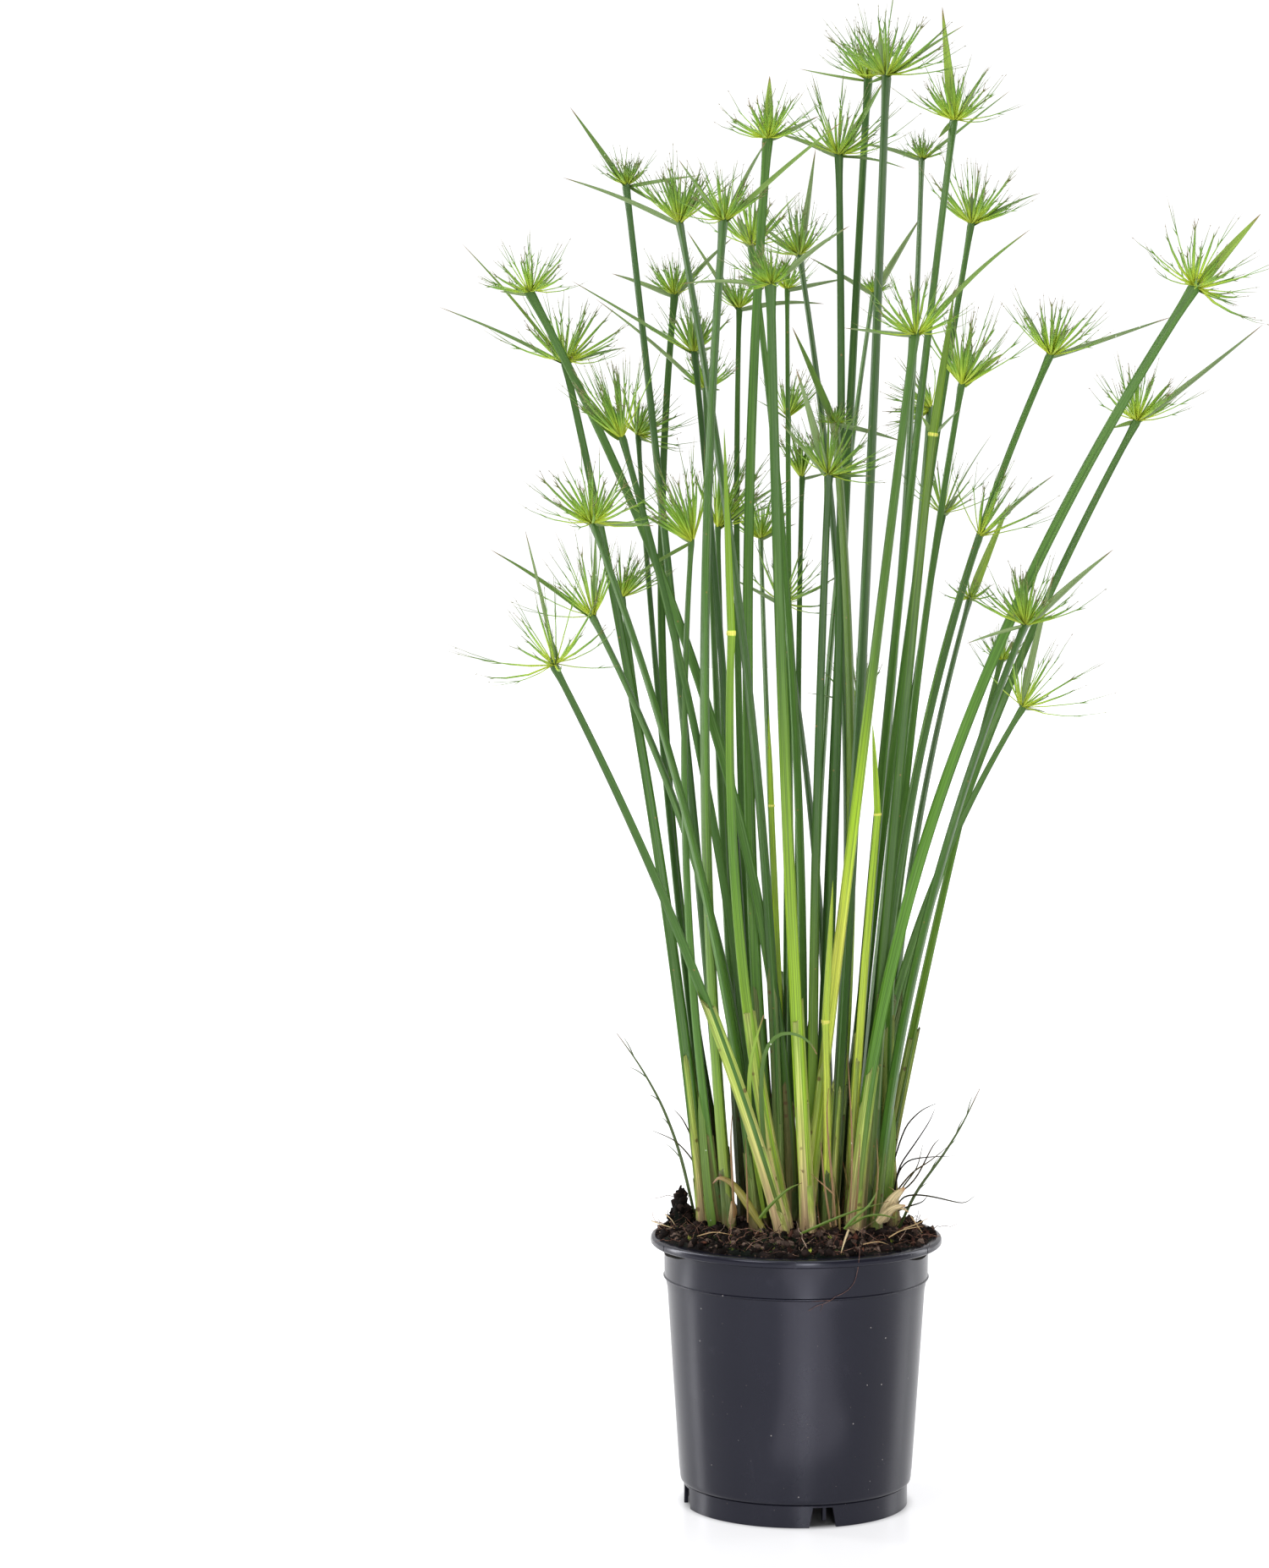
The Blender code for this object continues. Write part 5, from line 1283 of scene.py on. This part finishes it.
def blade_material(name, upper, lower, tip, dull):
    """Flat blades: one colour above, greyer below, browned at the tip. dull: how grey the underside is."""
    material, nodes, surface = new_material(name, Specular_IOR_Level=0.4, Coat_Weight=0.05, Coat_Roughness=0.4)
    f = veined(nodes, 3.0, 5.0)
    under = spread(nodes, nodes.add("ShaderNodeSeparateXYZ", {"Vector": f["ring"]}).outputs["Y"], -0.2, 0.3)
    top = mixed(nodes, spread(nodes, f["youth"], 0.2, 1.1), rgb(upper[0]), rgb(upper[1]))
    sides = mixed(nodes, nodes.math("MULTIPLY", under, dull), top, rgb(lower))
    veins = mixed(nodes, spread(nodes, f["fine"], 0.38, 0.62, 0.4, 0.0), sides, rgb("#38501c"))
    end = nodes.math("ADD", f["along"], nodes.math("MULTIPLY", f["broad"], 0.16))
    tipped = mixed(nodes, spread(nodes, end, 0.9, 1.06, 0.0, 0.85), veins, rgb(tip))
    flecks = mixed(nodes, nodes.math("MULTIPLY", specks(nodes, 330.0, 0.25, 0.06), 0.7), tipped, rgb("#d6dccb"))
    nodes.join(flecks, surface.inputs["Base Color"])
    nodes.join(spread(nodes, f["broad"], 0.3, 0.7, 0.38, 0.52), surface.inputs["Roughness"])
    bumped(nodes, surface, f["fine"], 0.4, 0.0003)
    return material


def ray_material():
    """Rays: yellow-green at the umbel's centre, green along the blade, brown and grey at the hairs."""
    material, nodes, surface = new_material("ray_skin", Specular_IOR_Level=0.35, Roughness=0.5)
    place = nodes.add("ShaderNodeTexCoord").outputs["Object"]
    tone = attribute(nodes, "tone")
    wander = noise_of(nodes, place, 160.0)
    along = nodes.math("ADD", attribute(nodes, "along"), nodes.math("MULTIPLY_ADD", wander, 0.2, -0.1))
    colour = ramp(nodes, along, ((0.0, "#d4de44"), (0.18, "#b8ce3c"), (0.4, "#8cb236"), (0.66, "#679230"),
                                 (0.82, "#707e40"), (0.92, "#857454"), (1.0, "#745e4c")))
    dark = mixed(nodes, spread(nodes, tone, 0.0, 1.0, 0.4, 0.0), colour, rgb("#3f6424"))
    fleck = mixed(nodes, spread(nodes, noise_of(nodes, place, 900.0), 0.6, 0.72, 0.0, 0.4), dark, rgb("#c9d68a"))
    nodes.join(fleck, surface.inputs["Base Color"])
    bumped(nodes, surface, wander, 0.2, 0.0003)
    return material


def peat_material():
    """Damp brown peat: dark crumbs with lighter fibres and a green-black film here and there."""
    material, nodes, surface = new_material("loose_peat", Specular_IOR_Level=0.06)
    place = nodes.add("ShaderNodeTexCoord").outputs["Object"]
    coarse, fine = noise_of(nodes, place, 90.0, 5.0), noise_of(nodes, place, 620.0, 4.0)
    brown = ramp(nodes, coarse, ((0.34, "#060505"), (0.52, "#13100f"), (0.72, "#2e2422")))
    film = mixed(nodes, spread(nodes, noise_of(nodes, place, 38.0), 0.48, 0.6, 0.0, 0.8), brown, rgb("#0b120d"))
    grains = mixed(nodes, spread(nodes, fine, 0.6, 0.72, 0.0, 0.5), film, rgb("#7d6658"))
    nodes.join(grains, surface.inputs["Base Color"])
    nodes.join(spread(nodes, fine, 0.3, 0.6, 0.7, 0.95), surface.inputs["Roughness"])
    bumped(nodes, surface, nodes.math("ADD", coarse, nodes.math("MULTIPLY", fine, 0.5)), 0.9, 0.0016)
    return material


def litter_material(name, stops, roughness=0.85):
    """Small loose things: each takes its own shade from its tone, with a fine grain."""
    material, nodes, surface = new_material(name, Specular_IOR_Level=0.06, Roughness=roughness)
    place = nodes.add("ShaderNodeTexCoord").outputs["Object"]
    grain = noise_of(nodes, place, 700.0, 3.0)
    shade = ramp(nodes, attribute(nodes, "tone"), stops)
    nodes.join(mixed(nodes, spread(nodes, grain, 0.4, 0.62, 0.55, 0.0), shade, rgb("#150e0a")), surface.inputs["Base Color"])
    bumped(nodes, surface, grain, 0.6, 0.0008)
    return material


def with_painted_shade(nodes, colour):
    """The colour with painted shade: darkened towards black green low down at the crown's back, where the culms lie in
    shadow.
    """
    group = nodes.add("ShaderNodeGroup", node_tree=PAINTED_SHADE)
    nodes.join(nodes.add("ShaderNodeTexCoord").outputs["Object"], group.inputs["Place"])
    return mixed(nodes, group.outputs["Mask"], colour, rgb("#121c0c"))


def pot_material():
    """Moulded black plastic: satin, with dust specks, pale smudges and faint upright scratches."""
    material, nodes, surface = new_material("moulded_plastic", Specular_IOR_Level=0.34, Specular_Tint=rgb("#eef0ff"))
    place = nodes.add("ShaderNodeTexCoord").outputs["Object"]
    cloud = noise_of(nodes, place, 14.0, 4.0)
    squeezed = nodes.vector("MULTIPLY", place, (160.0, 160.0, 7.0))
    scratch = spread(nodes, noise_of(nodes, squeezed, 1.0, 2.0), 0.66, 0.74, 0.0, 0.5)
    smudge = spread(nodes, noise_of(nodes, place, 46.0, 5.0, 0.7), 0.58, 0.75, 0.0, 0.35)
    base = mixed(nodes, cloud, rgb("#101019"), rgb("#171721"))
    smeared = mixed(nodes, smudge, base, rgb("#24232c"))
    scratched = mixed(nodes, nodes.math("MULTIPLY", scratch, 0.1), smeared, rgb("#3b3a42"))
    dust = mixed(nodes, nodes.math("MULTIPLY", specks(nodes, 110.0, 0.06, 0.5), 0.8), scratched, rgb("#9c9894"))
    grit = mixed(nodes, nodes.math("MULTIPLY", specks(nodes, 330.0, 0.12, 0.06), 0.4), dust, rgb("#7d746c"))
    nodes.join(grit, surface.inputs["Base Color"])
    nodes.join(nodes.math("ADD", spread(nodes, cloud, 0.3, 0.7, 0.22, 0.25), nodes.math("MULTIPLY", smudge, 0.04)),
               surface.inputs["Roughness"])
    bumped(nodes, surface, nodes.math("ADD", noise_of(nodes, place, 420.0, 3.0), nodes.math("MULTIPLY", scratch, 0.1)),
           0.05, 0.0003)
    return material


SKINS = {
    "culm": culm_material(), "sheath": sheath_material(), "ray": ray_material(), "pot": pot_material(),
    "peat": peat_material(),
    "bract": blade_material("bract_skin", ("#4f7028", "#86a434"), "#84956c", "#7d5a3c", 0.5),
    "dry": blade_material("dry_blade_skin", ("#7a5434", "#a4b044"), "#96704a", "#6a4020", 0.5),
    "straw": blade_material("straw_skin", ("#c9b48c", "#b98a5a"), "#c4ae86", "#93683e", 0.4),
    "grass": blade_material("grass_skin", ("#35481a", "#6b8a26"), "#4c5a2e", "#6a4a30", 0.4),
    "crumb": litter_material("crumb_skin", ((0.0, "#050404"), (0.5, "#120e0e"), (0.8, "#2e2422"), (1.0, "#746258"))),
    "bark": litter_material("bark_skin", ((0.0, "#1f1412"), (0.5, "#4c302a"), (0.8, "#6d4638"), (1.0, "#9c745e"))),
    "fibre": litter_material("fibre_skin", ((0.0, "#352220"), (0.5, "#6e4c40"), (0.85, "#9a7866"), (1.0, "#d0b8a2")), 0.7),
    "moss": litter_material("moss_skin", ((0.0, "#090f0a"), (0.5, "#17241a"), (0.85, "#3c4c24"), (1.0, "#a0ac48")), 0.75),
    "weed": litter_material("weed_skin", ((0.0, "#26241a"), (0.5, "#3a3a20"), (1.0, "#54462e")), 0.6),
}
SWEEP = sweep_tree("sweep three sided", three_sided)
BLADE = sweep_tree("sweep folded blade", folded)
SETTING = setting_tree("set small shapes")


# ---- The plant's pieces ----

def sweep(name, paths, tree, material, slot, nodes=(), corners=12, keel=0.4, thick=0.1):
    values = {"Corners": corners, "Keel": keel, "Thick": thick, "Material": material}
    piece = made_by_nodes(name, paths.mesh(name), tree, values)
    return ready(piece, None, *nodes, slot=slot)


def dress_stalks(curves):
    """Culms, sheaths, bracts and rays, in separate pieces for the two greens of the record."""
    shapes = [ray_shape(number) for number in range(RAY_KINDS)]
    rays = collection_of("ray_shapes", shapes)
    for slot, label in (("culm_green", "green"), ("young_green", "young")):
        chosen = [(i, row, curves[i]) for i, row in enumerate(STALKS) if SLOT_OF[row["name"]] == slot]
        culms, sheaths, bracts, bursts = Paths(), Paths(), Paths(), Spots()
        for index, row, curve in chosen:
            add_culm(culms, index, row, curve)
            add_sheaths(sheaths, index, row, curve)
            for number, bract in enumerate(row["bracts"]):
                add_bract(bracts, index, row, curve, number, bract)
            if row["rays"]:
                add_rays(bursts, index, row, curve)
        names = [row["name"] for _, row, _ in chosen]
        sweep(label + "_culms", culms, SWEEP, SKINS["culm"], slot, names, corners=15)
        sweep(label + "_sheaths", sheaths, SWEEP, SKINS["sheath"], slot, corners=15)
        sweep(label + "_bracts", bracts, BLADE, SKINS["bract"], slot, corners=10, keel=0.42, thick=0.13)
        piece = made_by_nodes(label + "_rays", bursts.mesh(label), SETTING, {"Shapes": rays, "Material": SKINS["ray"]})
        ready(piece, None, slot=slot)
    for shape in list(rays.objects):
        bpy.data.objects.remove(shape)
    bpy.data.collections.remove(rays)


def smooth_line(points, count):
    """A rounded line through a few places."""
    points = np.array(points, float)
    marks = np.linspace(0.0, len(points) - 1.0, count)
    line = np.array([[np.interp(m, range(len(points)), points[:, axis]) for axis in range(3)] for m in marks])
    for _ in range(max(2, count // len(points))):
        line[1:-1] = (line[:-2] + 2 * line[1:-1] + line[2:]) / 4
    return line


def seen_line(places, count):
    return smooth_line([seen_at(*place) for place in places], count)


CURLED_LEAF = ((-19, -14, 179), (-31, -16, 199), (-41, -16, 213), (-50, -14, 217), (-54, -12, 212))
LEFT_GRASS = ((-66, 26, 180), (-76, 24, 225), (-88, 22, 258), (-103, 20, 285), (-118, 18, 306))
RIGHT_GRASS = ((66, 12, 176), (78, 8, 204), (95, 2, 228), (108, -2, 250), (119, -4, 274))

# Fine weeds: pixels and depth of the places that each thread goes through
FINE_WEEDS = (
    ((1058, 1425, 10), (1062, 1380, 0), (1080, 1355, -6), (1100, 1325, -10), (1106, 1310, -12)),
    ((1056, 1425, 14), (1062, 1385, 8), (1075, 1369, 4), (1104, 1366, 0), (1131, 1365, -6)),
    ((1050, 1400, 4), (1070, 1331, -8), (1090, 1311, -14), (1108, 1303, -18)),
    ((1062, 1424, -6), (1070, 1411, -14), (1095, 1411, -22), (1125, 1418, -26), (1142, 1422, -28), (1153, 1412, -28)),
    ((1064, 1430, 0), (1075, 1425, -8), (1092, 1420, -14), (1098, 1412, -18)),
    ((1052, 1440, -20), (1066, 1405, -24), (1086, 1380, -28), (1092, 1352, -30)),
    ((836, 1412, 22), (822, 1372, 18), (800, 1348, 14), (772, 1337, 10)),
    ((830, 1400, 26), (820, 1345, 22), (808, 1322, 18), (798, 1312, 14)),
    ((1040, 1425, 20), (1082, 1398, 12), (1104, 1352, 4), (1112, 1345, 0)),
    ((1046, 1428, -10), (1078, 1385, -16), (1100, 1372, -20), (1124, 1352, -24)),
)
LOW_GRASS = (
    ((948, 1458, -60), (985, 1441, -62), (1012, 1430, -60), (1052, 1419, -52)),
    ((900, 1440, -54), (912, 1425, -56), (934, 1404, -58), (950, 1398, -60)),
    ((1006, 1448, -56), (1024, 1436, -52), (1044, 1434, -50), (1066, 1441, -50)),
    ((1000, 1452, -62), (1012, 1438, -62), (1030, 1424, -60), (1040, 1404, -58)),
)
# Leaves that arch off the crown: places, widths in mm, and youth
CROWN_LEAVES = (
    (((916, 1440, -16), (905, 1360, -26), (900, 1290, -38), (903, 1240, -46), (922, 1219, -50), (945, 1222, -54),
      (960, 1232, -56), (967, 1246, -58)), 3.0, 0.2),
    (((906, 1440, -12), (894, 1370, -26), (886, 1300, -46), (888, 1255, -54), (896, 1225, -56), (904, 1200, -58)), 3.2, 1.1),
    (((1049, 1440, 0), (1052, 1400, -6), (1058, 1330, -10), (1052, 1280, -12)), 6.0, 0.6),
    (((846, 1462, 2), (838, 1410, 0), (829, 1300, -3), (834, 1268, -6)), 6.0, 0.5),
)
# Dead shreds of old sheaths that stand round the crown's foot
DEAD_SHREDS = (
    (((990, 1448, -46), (984, 1380, -48), (978, 1320, -48), (981, 1286, -48)), 3.2),
    (((984, 1450, -50), (976, 1400, -52), (972, 1350, -52)), 3.0),
    (((870, 1440, -30), (868, 1400, -34), (865, 1350, -36), (867, 1318, -36)), 3.4),
    (((886, 1445, -40), (885, 1400, -42), (883, 1346, -42)), 2.6),
    (((1006, 1440, -44), (1010, 1360, -46), (1006, 1290, -46), (1003, 1246, -44)), 2.6),
    (((988, 1412, -66), (975, 1400, -66), (960, 1387, -66)), 2.2),
    (((872, 1436, -30), (871, 1426, -34), (867, 1416, -36)), 4.0),
    (((1012, 1445, -30), (1016, 1400, -34), (1018, 1340, -34)), 3.0),
    (((1034, 1440, -16), (1040, 1390, -18), (1038, 1345, -18)), 3.0),
    (((1058, 1436, -14), (1064, 1420, -18), (1062, 1408, -22), (1052, 1402, -26)), 3.0),
)
# Pale papery scraps and straws: a torn sheath at the right, a stub at the left, straws on the peat
STRAWS = (
    (((1046, 1442, -30), (1051, 1426, -36), (1060, 1412, -40), (1071, 1403, -42)), 9.0),
    (((1040, 1444, -38), (1049, 1434, -41), (1060, 1425, -44), (1072, 1424, -45)), 6.0),
    (((1040, 1438, -24), (1054, 1428, -28), (1068, 1426, -30), (1076, 1432, -32)), 3.0),
    (((1005, 1453, -66), (1000, 1467, -78), (996, 1481, -86)), 1.5),
    (((867, 1446, -22), (868, 1434, -28), (867, 1420, -30)), 5.5),
    (((772, 1444, -8), (786, 1449, -14), (800, 1453, -20)), 0.8),
    (((788, 1436, -4), (795, 1441, -10), (800, 1449, -16)), 0.8),
    (((1070, 1451, -30), (1085, 1446, -30), (1100, 1438, -26)), 0.9),
    (((1078, 1436, -20), (1085, 1446, -28), (1092, 1456, -36)), 0.9),
    (((1052, 1462, -56), (1068, 1452, -50), (1094, 1448, -40)), 0.8),
    (((826, 1462, -44), (846, 1456, -48), (868, 1460, -54)), 0.7),
    (((1022, 1470, -72), (1040, 1466, -66), (1052, 1470, -64)), 0.7),
)
TAPER = ((0.0, 0.8), (0.2, 1.0), (0.5, 0.85), (0.8, 0.5), (1.0, 0.2))


def tapered(width, count):
    return np.interp(np.linspace(0.0, 1.0, count), *zip(*TAPER)) * width / 2


def add_weeds():
    """The curled leaf, the two grass blades with their hairs, fine weeds, crown leaves and dead shreds."""
    leaf = Paths()
    line = smooth_line(CURLED_LEAF, 18)
    widths = np.interp(np.linspace(0, 4, 18), range(5), (3.0, 6.0, 5.2, 3.6, 1.4)) / 2
    leaf.add(line, (-0.4, -0.5, 1.0), widths, 0.4, np.linspace(1.4, 0.1, 18))
    sweep("dead_curled_leaf", leaf, BLADE, SKINS["dry"], "dry_blade", ("curled_leaf",), 12, 0.5, 0.12)
    for name, line, spare in (("left_grass", LEFT_GRASS, -1.0), ("right_grass", RIGHT_GRASS, 1.0)):
        blades = Paths()
        middle = smooth_line(line, 22)
        middle[0, 2] = peat_height(*middle[0, :2]) - 3.0
        blades.add(middle, (spare * 0.5, -0.6, -0.5), tapered(3.3, 22), 0.4, 0.1)
        rng = np.random.default_rng(5 if spare < 0 else 6)
        for k in (5, 8, 11, 14, 17):
            tip = middle[k] + (spare * rng.uniform(4, 12), rng.uniform(-6, 6), rng.uniform(5, 14))
            hair = smooth_line((middle[k], (middle[k] + tip) / 2 + (0, 0, 1.5), tip), 6)
            blades.add(hair, (0, -1, 0.3), tapered(0.7, 6), 0.5, 0.2)
        sweep("weed_" + name, blades, BLADE, SKINS["grass"], "grass", (name,), 8, 0.4, 0.2)
    fine = Paths()
    for number, places in enumerate(FINE_WEEDS):
        fine.add(seen_line(places, 18), (0, -1, 0.2), tapered(1.15, 18), 0.1 * number)
    sweep("fine_weeds", fine, BLADE, SKINS["weed"], "grass", (), 6, 0.4, 0.4)
    low = Paths()
    for places in LOW_GRASS:
        low.add(seen_line(places, 16), (0, -0.6, -1), tapered(3.4, 16), 0.5, 1.0)
    sweep("low_grass", low, BLADE, SKINS["grass"], "grass", (), 8, 0.4, 0.3)
    leaves = Paths()
    for places, width, youth in CROWN_LEAVES:
        leaves.add(seen_line(places, 18), (0, 1, -0.2), tapered(width, 18), 0.5, youth)
    sweep("crown_leaves", leaves, BLADE, SKINS["bract"], "culm_green", (), 10, 0.4, 0.1)
    shreds = Paths()
    for number, (places, width) in enumerate(DEAD_SHREDS):
        shreds.add(seen_line(places, 12), (0.2, -1, 0.2), tapered(width * 0.5, 12), 0.5, -0.5 + 0.12 * number)
    rng = np.random.default_rng(11)
    for _ in range(30):
        angle, radius = rng.uniform(0, 2 * math.pi), rng.uniform(8, 56)
        x, y = 4 + radius * math.cos(angle), 20 + 0.72 * radius * math.sin(angle)
        foot = np.array((x, y, peat_height(x, y) - 2.0))
        tip = foot + (rng.normal() * 7, rng.normal() * 7, rng.uniform(10, 52))
        middle = (foot + tip) / 2 + rng.normal(size=3) * 3
        shreds.add(smooth_line((foot, middle, tip), 9), rng.normal(size=3), tapered(rng.uniform(0.8, 2.0), 9), 0.5,
                   rng.uniform(-1.0, 0.8))
    sweep("dead_shreds", shreds, BLADE, SKINS["dry"], "dry_blade", (), 8, 0.5, 0.12)
    straws = Paths()
    for number, (places, width) in enumerate(STRAWS):
        straws.add(seen_line(places, 12), (0.3, -1, 0.4), tapered(width, 12), 0.5, 0.2 + 0.08 * number)
    sweep("pale_straws", straws, BLADE, SKINS["straw"], "dry_blade", (), 8, 0.5, 0.1)


def wall_radius(height):
    """The pot's outer radius at a height."""
    outside = POT_PROFILE[10:22]
    return LIP_RADIUS if height > 171.5 else float(np.interp(height, *zip(*((h, r) for r, h in outside))))


def on_pot(column, row):
    """The place on the front of the pot's wall that the photo shows at a pixel."""
    depth = -BAND_RADIUS
    for _ in range(6):
        place = seen_at(column, row, depth)
        depth = -math.sqrt(max(1.0, wall_radius(place[2]) ** 2 - place[0] ** 2))
    return np.array((place[0], depth, place[2]))


HANGING_ROOT = ((1016, 1500), (1012, 1517), (1000, 1528), (990, 1531), (985, 1536), (975, 1541), (968, 1542), (958, 1549))


def add_hanging_root():
    """One thin root that comes over the rim and hangs down the front of the wall."""
    places = [seen_at(1018, 1470, -74), seen_at(1018, 1482, -92), on_pot(1017, 1490) + (0, -1.4, 0)]
    places += [on_pot(*pixel) + (0, -0.7, 0) for pixel in HANGING_ROOT]
    root = Paths()
    root.add(smooth_line(places, 44), (0, -1, 0.1), np.linspace(0.24, 0.14, 44), 0.5, -0.4)
    for first, tip in ((7, (962, 1538)), (8, (972, 1550))):
        start, end = places[first], on_pot(*tip) + (0, -0.6, 0)
        root.add(smooth_line((start, (start + end) / 2, end), 8), (0, -1, 0.1), np.linspace(0.16, 0.08, 8), 0.5, -0.4)
    sweep("hanging_root", root, SWEEP, SKINS["root"], "peat", (), 6)


MOSS_AT = (-28.0, -40.0)
CROWN_AT = (4.0, 20.0)


def left_of_crown(x, y):
    return math.exp(-((x - MOSS_AT[0]) ** 2 + (y - MOSS_AT[1]) ** 2) / 900.0) + 0.06


def right_side(x, y):
    return 0.25 + 0.75 * (x > 25)


def add_litter():
    lumps = [lump_shape(40 + k, 0.8) for k in range(6)]
    scatter("peat_crumbs", lumps, SKINS["crumb"], "peat", 2600, 21, (0.6, 4.6), 1.0, None, 0.0)
    scatter("bark_chips", [chip_shape(60 + k) for k in range(5)], SKINS["bark"], "peat", 260, 22, (1.6, 6.5), 1.6,
            right_side, -0.1)
    scatter("root_fibres", [fibre_shape(80 + k) for k in range(6)], SKINS["fibre"], "peat", 760, 23, (6.0, 24.0), 0.3,
            None, -0.06, 0.2)
    scatter("moss_tufts", [tuft_shape(90 + k) for k in range(5)], SKINS["moss"], "peat", 900, 24, (1.3, 3.8), 2.5,
            left_of_crown, 0.1)
    clod = Spots()
    rng = np.random.default_rng(31)
    for _ in range(70):
        angle, rise = rng.uniform(0, 2 * math.pi), rng.uniform(0.0, 1.0)
        radius = (1.0 - rise) * 5.0 + 1.2
        x, y = CLOD_AT[0] + radius * math.cos(angle), CLOD_AT[1] + radius * math.sin(angle)
        top = peat_height(*CLOD_AT)
        size = rng.uniform(1.4, 4.2)
        clod.add((x, y, top - 20 + 19 * rise), random_way(rng, 1.0), (size, size, size * 1.2), int(rng.integers(6)),
                 rng.normal(size=3), (0, 0, 0), float(rng.uniform(0, 0.7)))
    group = collection_of("clod_shapes", lumps)
    ready(made_by_nodes("peat_clod", clod.mesh("peat_clod"), SETTING, {"Shapes": group, "Material": SKINS["crumb"]}),
          None, slot="peat")
    for shape in list(group.objects):
        bpy.data.objects.remove(shape)
    bpy.data.collections.remove(group)


# ---- Studio ----

def add_camera():
    camera = bpy.data.objects.new("camera", bpy.data.cameras.new("camera"))
    bpy.context.scene.collection.objects.link(camera)
    camera.data.sensor_width = SENSOR_WIDTH
    camera.data.lens = FOCAL_PIXELS * SENSOR_WIDTH / IMAGE_LONG_SIDE
    camera.data.clip_end = 50.0
    camera.location = (np.array(CAMERA_AT) + POT_AXIS) * MM
    camera.rotation_euler = (math.pi / 2 - CAMERA_DOWN, 0.0, CAMERA_LEFT)
    bpy.context.scene.camera = camera
    bpy.context.scene.view_settings.view_transform = "Standard"


def add_softbox(name, at, goal, width, height, power, tint=(1.0, 1.0, 1.0)):
    light = bpy.data.lights.new(name, "AREA")
    light.shape = "RECTANGLE"
    light.size, light.size_y, light.energy, light.color = width, height, power, tint
    box = bpy.data.objects.new(name, light)
    bpy.context.scene.collection.objects.link(box)
    box.location = at
    box.rotation_euler = (Vector(goal) - Vector(at)).to_track_quat("-Z", "Y").to_euler()
    box.visible_camera = False


def add_world():
    """White behind the plant, greyer on the camera's side, and pure white where the camera looks past everything."""
    world = bpy.data.worlds.new("studio")
    bpy.context.scene.world = world
    world.use_nodes = True
    world.node_tree.nodes.clear()
    nodes = Nodes(world.node_tree)
    way = nodes.add("ShaderNodeSeparateXYZ", {"Vector": nodes.add("ShaderNodeTexCoord").outputs["Generated"]})
    level = spread(nodes, way.outputs["Y"], -0.5, 0.6, 0.22, 0.85)
    seen = nodes.add("ShaderNodeLightPath").outputs["Is Camera Ray"]
    strength = nodes.math("MAXIMUM", level, nodes.math("MULTIPLY", seen, 1.1))
    sky = nodes.add("ShaderNodeBackground", {"Color": rgb("#ffffff"), "Strength": strength})
    nodes.add("ShaderNodeOutputWorld", {"Surface": sky})


def add_floor():
    floor = new_object("studio_floor", plain_mesh(
        "studio_floor", [(-9, -7, 0), (9, -7, 0), (9, 12, 0), (-9, 12, 0)], [(0, 1, 2, 3)]))
    material, nodes, surface = new_material("white_sheet", Roughness=0.32, Specular_IOR_Level=0.35,
                                            Emission_Strength=0.95)
    place = nodes.add("ShaderNodeTexCoord").outputs["Object"]
    out = nodes.vector("LENGTH", nodes.vector("SUBTRACT", place, tuple(POT_AXIS * MM))).outputs["Value"]
    # Painted shadow: the floor's glow is black under the pot and dimmer round it, rising to white further out
    near = mixed(nodes, spread(nodes, out, 0.066, 0.08), rgb("#000000"), rgb("#d6d6d8"))
    nodes.join(mixed(nodes, spread(nodes, out, 0.2, 1.6), near, rgb("#ffffff")), surface.inputs["Emission Color"])
    nodes.join(mixed(nodes, noise_of(nodes, place, 2.0), rgb("#8e8e8f"), rgb("#929293")), surface.inputs["Base Color"])
    floor.data.materials.append(material)


def main():
    SKINS["root"] = litter_material("root_skin", ((0.0, "#5f4238"), (0.5, "#7a5a50"), (1.0, "#9a7a6c")), 0.7)
    add_camera()
    add_world()
    add_floor()
    add_softbox("front_left", (-1.5, -1.9, 1.9), (0, 0, 0.5), 1.2, 1.2, 34)
    add_softbox("front_low", (0.2, -1.5, 0.3), (-0.035, 0, 0.1), 0.34, 0.7, 9.0)
    add_softbox("front_card", (0.02, -0.37, 0.006), (0.02, -0.36, 1.0), 0.23, 0.42, 0.42, (1.0, 0.95, 0.98))
    add_softbox("lip_strip", (0.05, -1.8, 1.6), (-0.035, 0, 0.17), 1.2, 0.12, 4.0)
    add_softbox("rim_left", (-1.5, 0.5, 0.9), (0, 0, 0.5), 0.3, 1.8, 24)
    add_softbox("rim_right", (1.6, 0.8, 0.9), (0, 0, 0.5), 0.6, 1.8, 16)
    add_softbox("above", (0, -0.3, 2.6), (0, 0, 0), 2.4, 2.0, 36)
    make_pot(SKINS["pot"])
    make_peat(SKINS["peat"])
    curves = part_the_culms(first_curves())
    for curve in curves:
        curve[0, 2] = peat_height(curve[0, 0], curve[0, 1]) - 1.0
    dress_stalks(curves)
    add_weeds()
    add_hanging_root()
    add_litter()


main()
bpy.context.view_layer.update()
